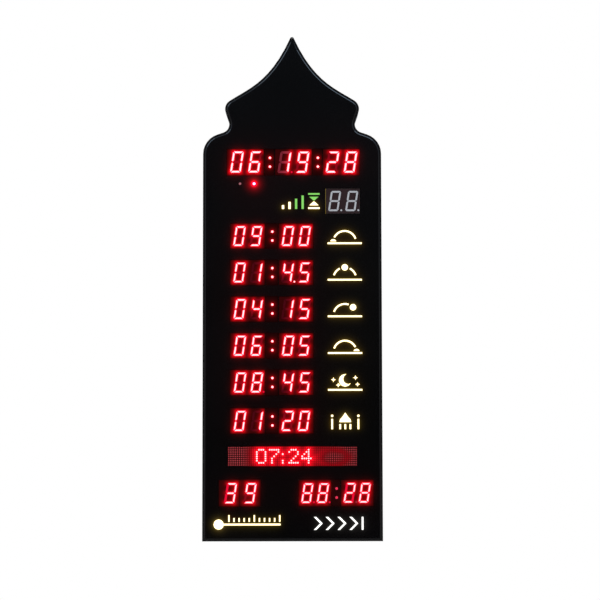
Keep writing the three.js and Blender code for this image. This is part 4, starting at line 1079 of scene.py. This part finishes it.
# Rear details
def build_button(number):
    node = f"setting_button_{number}"
    box = span(node)
    flange = box.width / 2
    seat = box.front - STEM_LENGTH
    rim = seat - BUTTON_FLANGE
    profile = [(radius, box.back + depth) for radius, depth in CAP_POINTS] + [
        (CAP_RADIUS, rim), (flange, rim), (flange, seat), (STEM_RADIUS, seat), (STEM_RADIUS, box.front),
        (0, box.front),
    ]
    name = f"button_{number}_cap"
    mesh = turned_mesh(name, box.middle, profile, "button_plastic", sides=36)
    mesh.set_sharp_from_angle(angle=SHARP)
    show(name, mesh, [node], body=f"button_{number}")


def build_screw(number):
    """A pan head over a plain shank, with a cross recess cut into the head."""
    node = f"cover_screw_{number}"
    box = span(node)
    head = box.width / 2
    seat = box.back + HEAD_DEPTH
    profile = [(head * share, box.back + depth) for share, depth in HEAD_POINTS] + [
        (head, seat), (SHANK_RADIUS, seat), (SHANK_RADIUS, box.front - SHANK_TIP), (0, box.front),
    ]
    body = turned_mesh("screw", box.middle, profile, "screw_steel", sides=32)
    cross = Maker()
    for width, height in ((CROSS_LENGTH, CROSS_WIDTH), (CROSS_WIDTH, CROSS_LENGTH)):
        loop = rounded_loop(*box.middle, width, height, CROSS_CORNER)
        cross.loft([ring(loop, box.back - OVERRUN), ring(loop, box.back + CROSS_DEPTH)], ["screw_steel"])
    mesh = subtract(body, make_mesh("cross", cross, "screw_steel"), overlapping=True)
    mesh.set_sharp_from_angle(angle=SHARP)
    show(f"screw_{number}", mesh, [node])


def keyhole_loop(x, low, high):
    """A keyhole, round below and narrow above, clockwise so that it reads as a hole."""
    neck = math.asin(KEYHOLE_SLOT / KEYHOLE_ENTRY)
    points = arc(x, low, KEYHOLE_ENTRY, math.pi / 2 + neck, 2 * (math.pi - neck), KEYHOLE_STEPS)
    points += arc(x, high, KEYHOLE_SLOT, 0, math.pi, KEYHOLE_STEPS)
    return points[::-1]


def around(loop):
    """Each point of a loop with the next."""
    return zip(loop, loop[1:] + loop[:1])


def cut_sheet(loops, back, front, edge):
    """A sheet with eased edges: the first loop is its outline, the rest are holes."""
    mesh = bpy.data.meshes.new("sheet")
    with editing(mesh) as work:
        caps = ([], [])
        for loop in loops:
            drawn = inset(loop, edge)
            rings = [(drawn, back), (loop, back + edge), (loop, front - edge), (drawn, front)]
            rows = []
            for points, depth in rings:
                rows.append([work.verts.new((x * MM, -depth * MM, z * MM)) for x, z in points])
            for near, far in zip(rows, rows[1:]):
                for (start, end), (above, beyond) in zip(around(near), around(far)):
                    work.faces.new((start, end, beyond, above))
            for cap, row in zip(caps, (rows[0], rows[-1])):
                cap += [work.edges.get(pair) for pair in around(row)]
        for cap in caps:
            bmesh.ops.triangle_fill(work, edges=cap, use_beauty=True)
        bmesh.ops.recalc_face_normals(work, faces=work.faces)
    return mesh


def build_hanger():
    """A rail with two keyholes, its ends folded forward as legs."""
    box = span("hanger_rail")
    x, z = box.middle
    border = outline(box, radius=RAIL_CORNER, steps=RAIL_CORNER_STEPS)
    holes = [keyhole_loop(x + side * KEYHOLE_X, z - KEYHOLE_DROP, z + KEYHOLE_RISE) for side in (-1, 1)]
    mesh = cut_sheet([border, *holes], box.back, box.back + RAIL_THICKNESS, RAIL_EDGE)
    maker = Maker()
    for left in (box.left, box.right - LEG_WIDTH):
        leg = Span(left, left + LEG_WIDTH, box.back, box.front, box.low + LEG_INSET, box.high - LEG_INSET)
        loop, drawn = outline(leg, radius=LEG_CORNER), outline(leg, RAIL_EDGE, LEG_CORNER - RAIL_EDGE)
        start = box.back + RAIL_THICKNESS - LEG_OVERLAP
        rings = [ring(loop, start), ring(loop, box.front - RAIL_EDGE), ring(drawn, box.front)]
        maker.loft(rings, ["hanger_steel"] * 2)
        for up in (-1, 1):
            rivet = [(radius, box.back + depth) for radius, depth in RIVET_POINTS]
            turned(maker, leg.middle[0], z + up * RIVET_RISE, rivet, ["hanger_steel"] * 3, sides=20)
    with editing(mesh) as work:
        work.from_mesh(make_mesh("hanger_legs", maker, "hanger_steel"))
    mesh.materials.append(surfaces["hanger_steel"])
    show("hanger", mesh, ["hanger_rail"])


def build_speaker():
    """A cone with its cap and rolled surround."""
    box = span("speaker_cone")
    radius = box.width / 2
    profile = [(across, box.front - depth) for across, depth in CONE_POINTS]
    profile += [(radius - drawn, box.back + depth) for drawn, depth in ROLL_POINTS]
    profile += [(across, box.front - depth) for across, depth in CONE_FRONT_POINTS]
    mesh = turned_mesh("speaker_diaphragm", box.middle, profile, "speaker_paper", sides=56)
    show("speaker_diaphragm", mesh, ["speaker_cone"])


def build_grille_cloth():
    """Dust cloth between the cover's slots and the speaker's rim."""
    speaker = span("speaker_frame")
    radius = speaker.width / 2 - CLOTH_INSET
    back = span("rear_cover").back + CLOTH_DEPTH
    front = back + CLOTH_THICKNESS
    profile = [(0, back), (radius, back), (radius, front), (0, front)]
    mesh = turned_mesh("grille_cloth", speaker.middle, profile, "grille_cloth", sides=48, smooth=False)
    show("grille_cloth", mesh, [])


def build_inlet():
    """A moulded block with a chamfered round bore and its contact pin."""
    box = span("power_inlet")
    x, depth = (box.left + box.right) / 2, (box.back + box.front) / 2
    size = box.width
    outer = rounded_loop(x, depth, size, size, INLET_CORNER)
    eased = rounded_loop(x, depth, size - INLET_EDGE * 2, size - INLET_EDGE * 2, INLET_INNER_CORNER)
    turns = [math.atan2(v - depth, u - x) for u, v in outer]

    def level(loop, height):
        return [(u, v, height) for u, v in loop]

    def bored(points):
        for radius, up in points:
            loop = [(x + radius * math.cos(turn), depth + radius * math.sin(turn)) for turn in turns]
            yield level(loop, box.low + up)

    body = [level(outer, box.high), level(outer, box.low + INLET_EDGE), level(eased, box.low)]
    maker = Maker()
    maker.loft([*body, *bored(BORE_POINTS)], ["black_plastic"] * 5)
    maker.loft(list(bored(PIN_POINTS)), ["screw_steel"] * 2)
    mesh = make_mesh("inlet_socket", maker, "black_plastic", "screw_steel")
    show("inlet_socket", mesh, ["power_inlet"])


def dress_nodes():
    """Gives each CAD node that still shows its material, and some of them eased edges."""
    for row in frame["record"]["subparts"]:
        node = frame["nodes"][row["node"]]
        if node.hide_render:
            continue
        if not node.material_slots:
            node.data.materials.append(None)
        for place in node.material_slots:
            place.material = surfaces[row["material_slot"]]
        if row["node"] in EASED:
            ease = node.modifiers.new("eased_edges", "BEVEL")
            ease.width = EASED[row["node"]] * MM
            ease.segments = EASE_SEGMENTS
            ease.limit_method = "ANGLE"
            ease.angle_limit = EASE_ANGLE


# Studio
def build_floor():
    z = cad_box[0].z - FLOOR_DROP
    corners = [(x * FLOOR_REACH, y * FLOOR_REACH, z) for x, y in ((-1, -1), (1, -1), (1, 1), (-1, 1))]
    mesh = bpy.data.meshes.new("floor")
    mesh.from_pydata(corners, [], [(0, 1, 2, 3)])
    mesh.materials.append(surfaces["floor"])
    floor = put("floor", mesh)


def add_light(look):
    data = bpy.data.lights.new(look.name, "AREA")
    data.shape = "RECTANGLE"
    data.size, data.size_y = look.size
    data.energy = look.power
    data.color = look.colour
    light = put(look.name, data)
    light.location = look.place
    light.rotation_euler = (LIGHT_AIM - Vector(look.place)).to_track_quat("-Z", "Y").to_euler()


def build_world():
    """A white room that gloss sees as darker in front and low, and bluer overhead."""
    world = bpy.data.worlds.new("studio")
    tree = Tree(world)
    seen = tree.add("ShaderNodeTexCoord", "Generated")

    def grade(axis, *values):
        ends = dict(zip(("From Min", "From Max", "To Min", "To Max"), values))
        place = tree.add("ShaderNodeSeparateXYZ", axis, {"Vector": seen})
        return tree.add("ShaderNodeMapRange", "Result", {"Value": place, **ends})

    low = tree.maths("ADD", grade(*ROOM_SIDES), grade(*ROOM_FRONT))
    light = tree.maths("ADD", low, grade(*ROOM_OVERHEAD))
    colours = {"Fac": grade(*ROOM_TINT), "Color1": LOW_TINT, "Color2": HIGH_TINT}
    tint = tree.add("ShaderNodeMixRGB", "Color", colours)
    room = tree.add("ShaderNodeBackground", "Background", {"Color": tint, "Strength": light})
    white = tree.nodes["Background"]
    tree.fill(white, {"Color": (1, 1, 1, 1)})
    glossy = tree.add("ShaderNodeLightPath", "Is Glossy Ray")
    sockets = {"Fac": glossy, 1: white.outputs["Background"], 2: room}
    choice = tree.add("ShaderNodeMixShader", "Shader", sockets)
    tree.fill(tree.nodes["World Output"], {"Surface": choice})
    return world


def build_lights():
    bpy.context.scene.world = build_world()
    for look in LIGHTS:
        add_light(look)


def build_camera():
    data = bpy.data.cameras.new("camera")
    data.lens = CAMERA_LENS
    data.sensor_width = SENSOR
    camera = put("camera", data)
    camera.location = CAMERA_AT
    turn = (CAMERA_AIM - CAMERA_AT).to_track_quat("-Z", "Y") @ Quaternion((0, 0, 1), CAMERA_ROLL)
    camera.rotation_euler = turn.to_euler()
    bpy.context.scene.camera = camera


def build_bloom():
    """Lets bright lamps glow round their edges, as they do through a camera lens."""
    scene = bpy.context.scene
    scene.view_settings.view_transform = "Standard"
    tree = Tree(scene)
    tree.nodes.clear()
    picture = tree.add("CompositorNodeRLayers", "Image")

    def mix(kind, first, second, share=1.0):
        sockets = {"Fac": share, 1: first, 2: second}
        return tree.add("CompositorNodeMixRGB", "Image", sockets, blend_type=kind)

    over = mix("SUBTRACT", picture, (BLOOM_START, BLOOM_START, BLOOM_START, 0.0))
    bright = mix("LIGHTEN", over, (0.0, 0.0, 0.0, 0.0))
    result = picture
    for share, strength in BLOOM_BLURS:
        size = tree.add(
            "CompositorNodeRelativeToPixel", "Float Value", {"Float Value": share, "Image": picture},
            data_type="FLOAT", reference_dimension="X",
        )
        blur = tree.add("CompositorNodeBlur", "Image", {"Image": bright, "Size": size}, filter_type="GAUSS")
        result = mix("ADD", result, blur, strength)
    tree.fill(tree.nodes.new("CompositorNodeComposite"), {"Image": result})


def build_legends():
    """Warm legends but for the last, and part of the remaining time's in green."""
    box = span("legend_light_remaining")
    left, right = (box.left + box.width * share for share in (GREEN_LEFT_SHARE, GREEN_RIGHT_SHARE))
    build_legend("prayers", "legend_warm")
    build_legend("remaining", "legend_warm", Green(left, right, box.middle[1]))
    build_legend("temperature", "legend_warm")
    build_legend("end", "legend_white")


def build_clock():
    for reading in READINGS:
        build_display(reading)
    for node, lit in (("main_colon_1", True), ("main_colon_2", True), ("end_colon", False)):
        build_colon(node, lit)
    build_prayer_colons()
    build_matrix()
    build_lamp("indicator_lamp_1", False)
    build_lamp("indicator_lamp_2", True)
    build_panel()
    build_legends()
    for number in range(1, BUTTONS + 1):
        build_button(number)
        build_screw(number)
    build_hanger()
    build_speaker()
    build_grille_cloth()
    build_inlet()
    dress_nodes()


build_camera()
build_clock()
build_floor()
build_lights()
build_bloom()
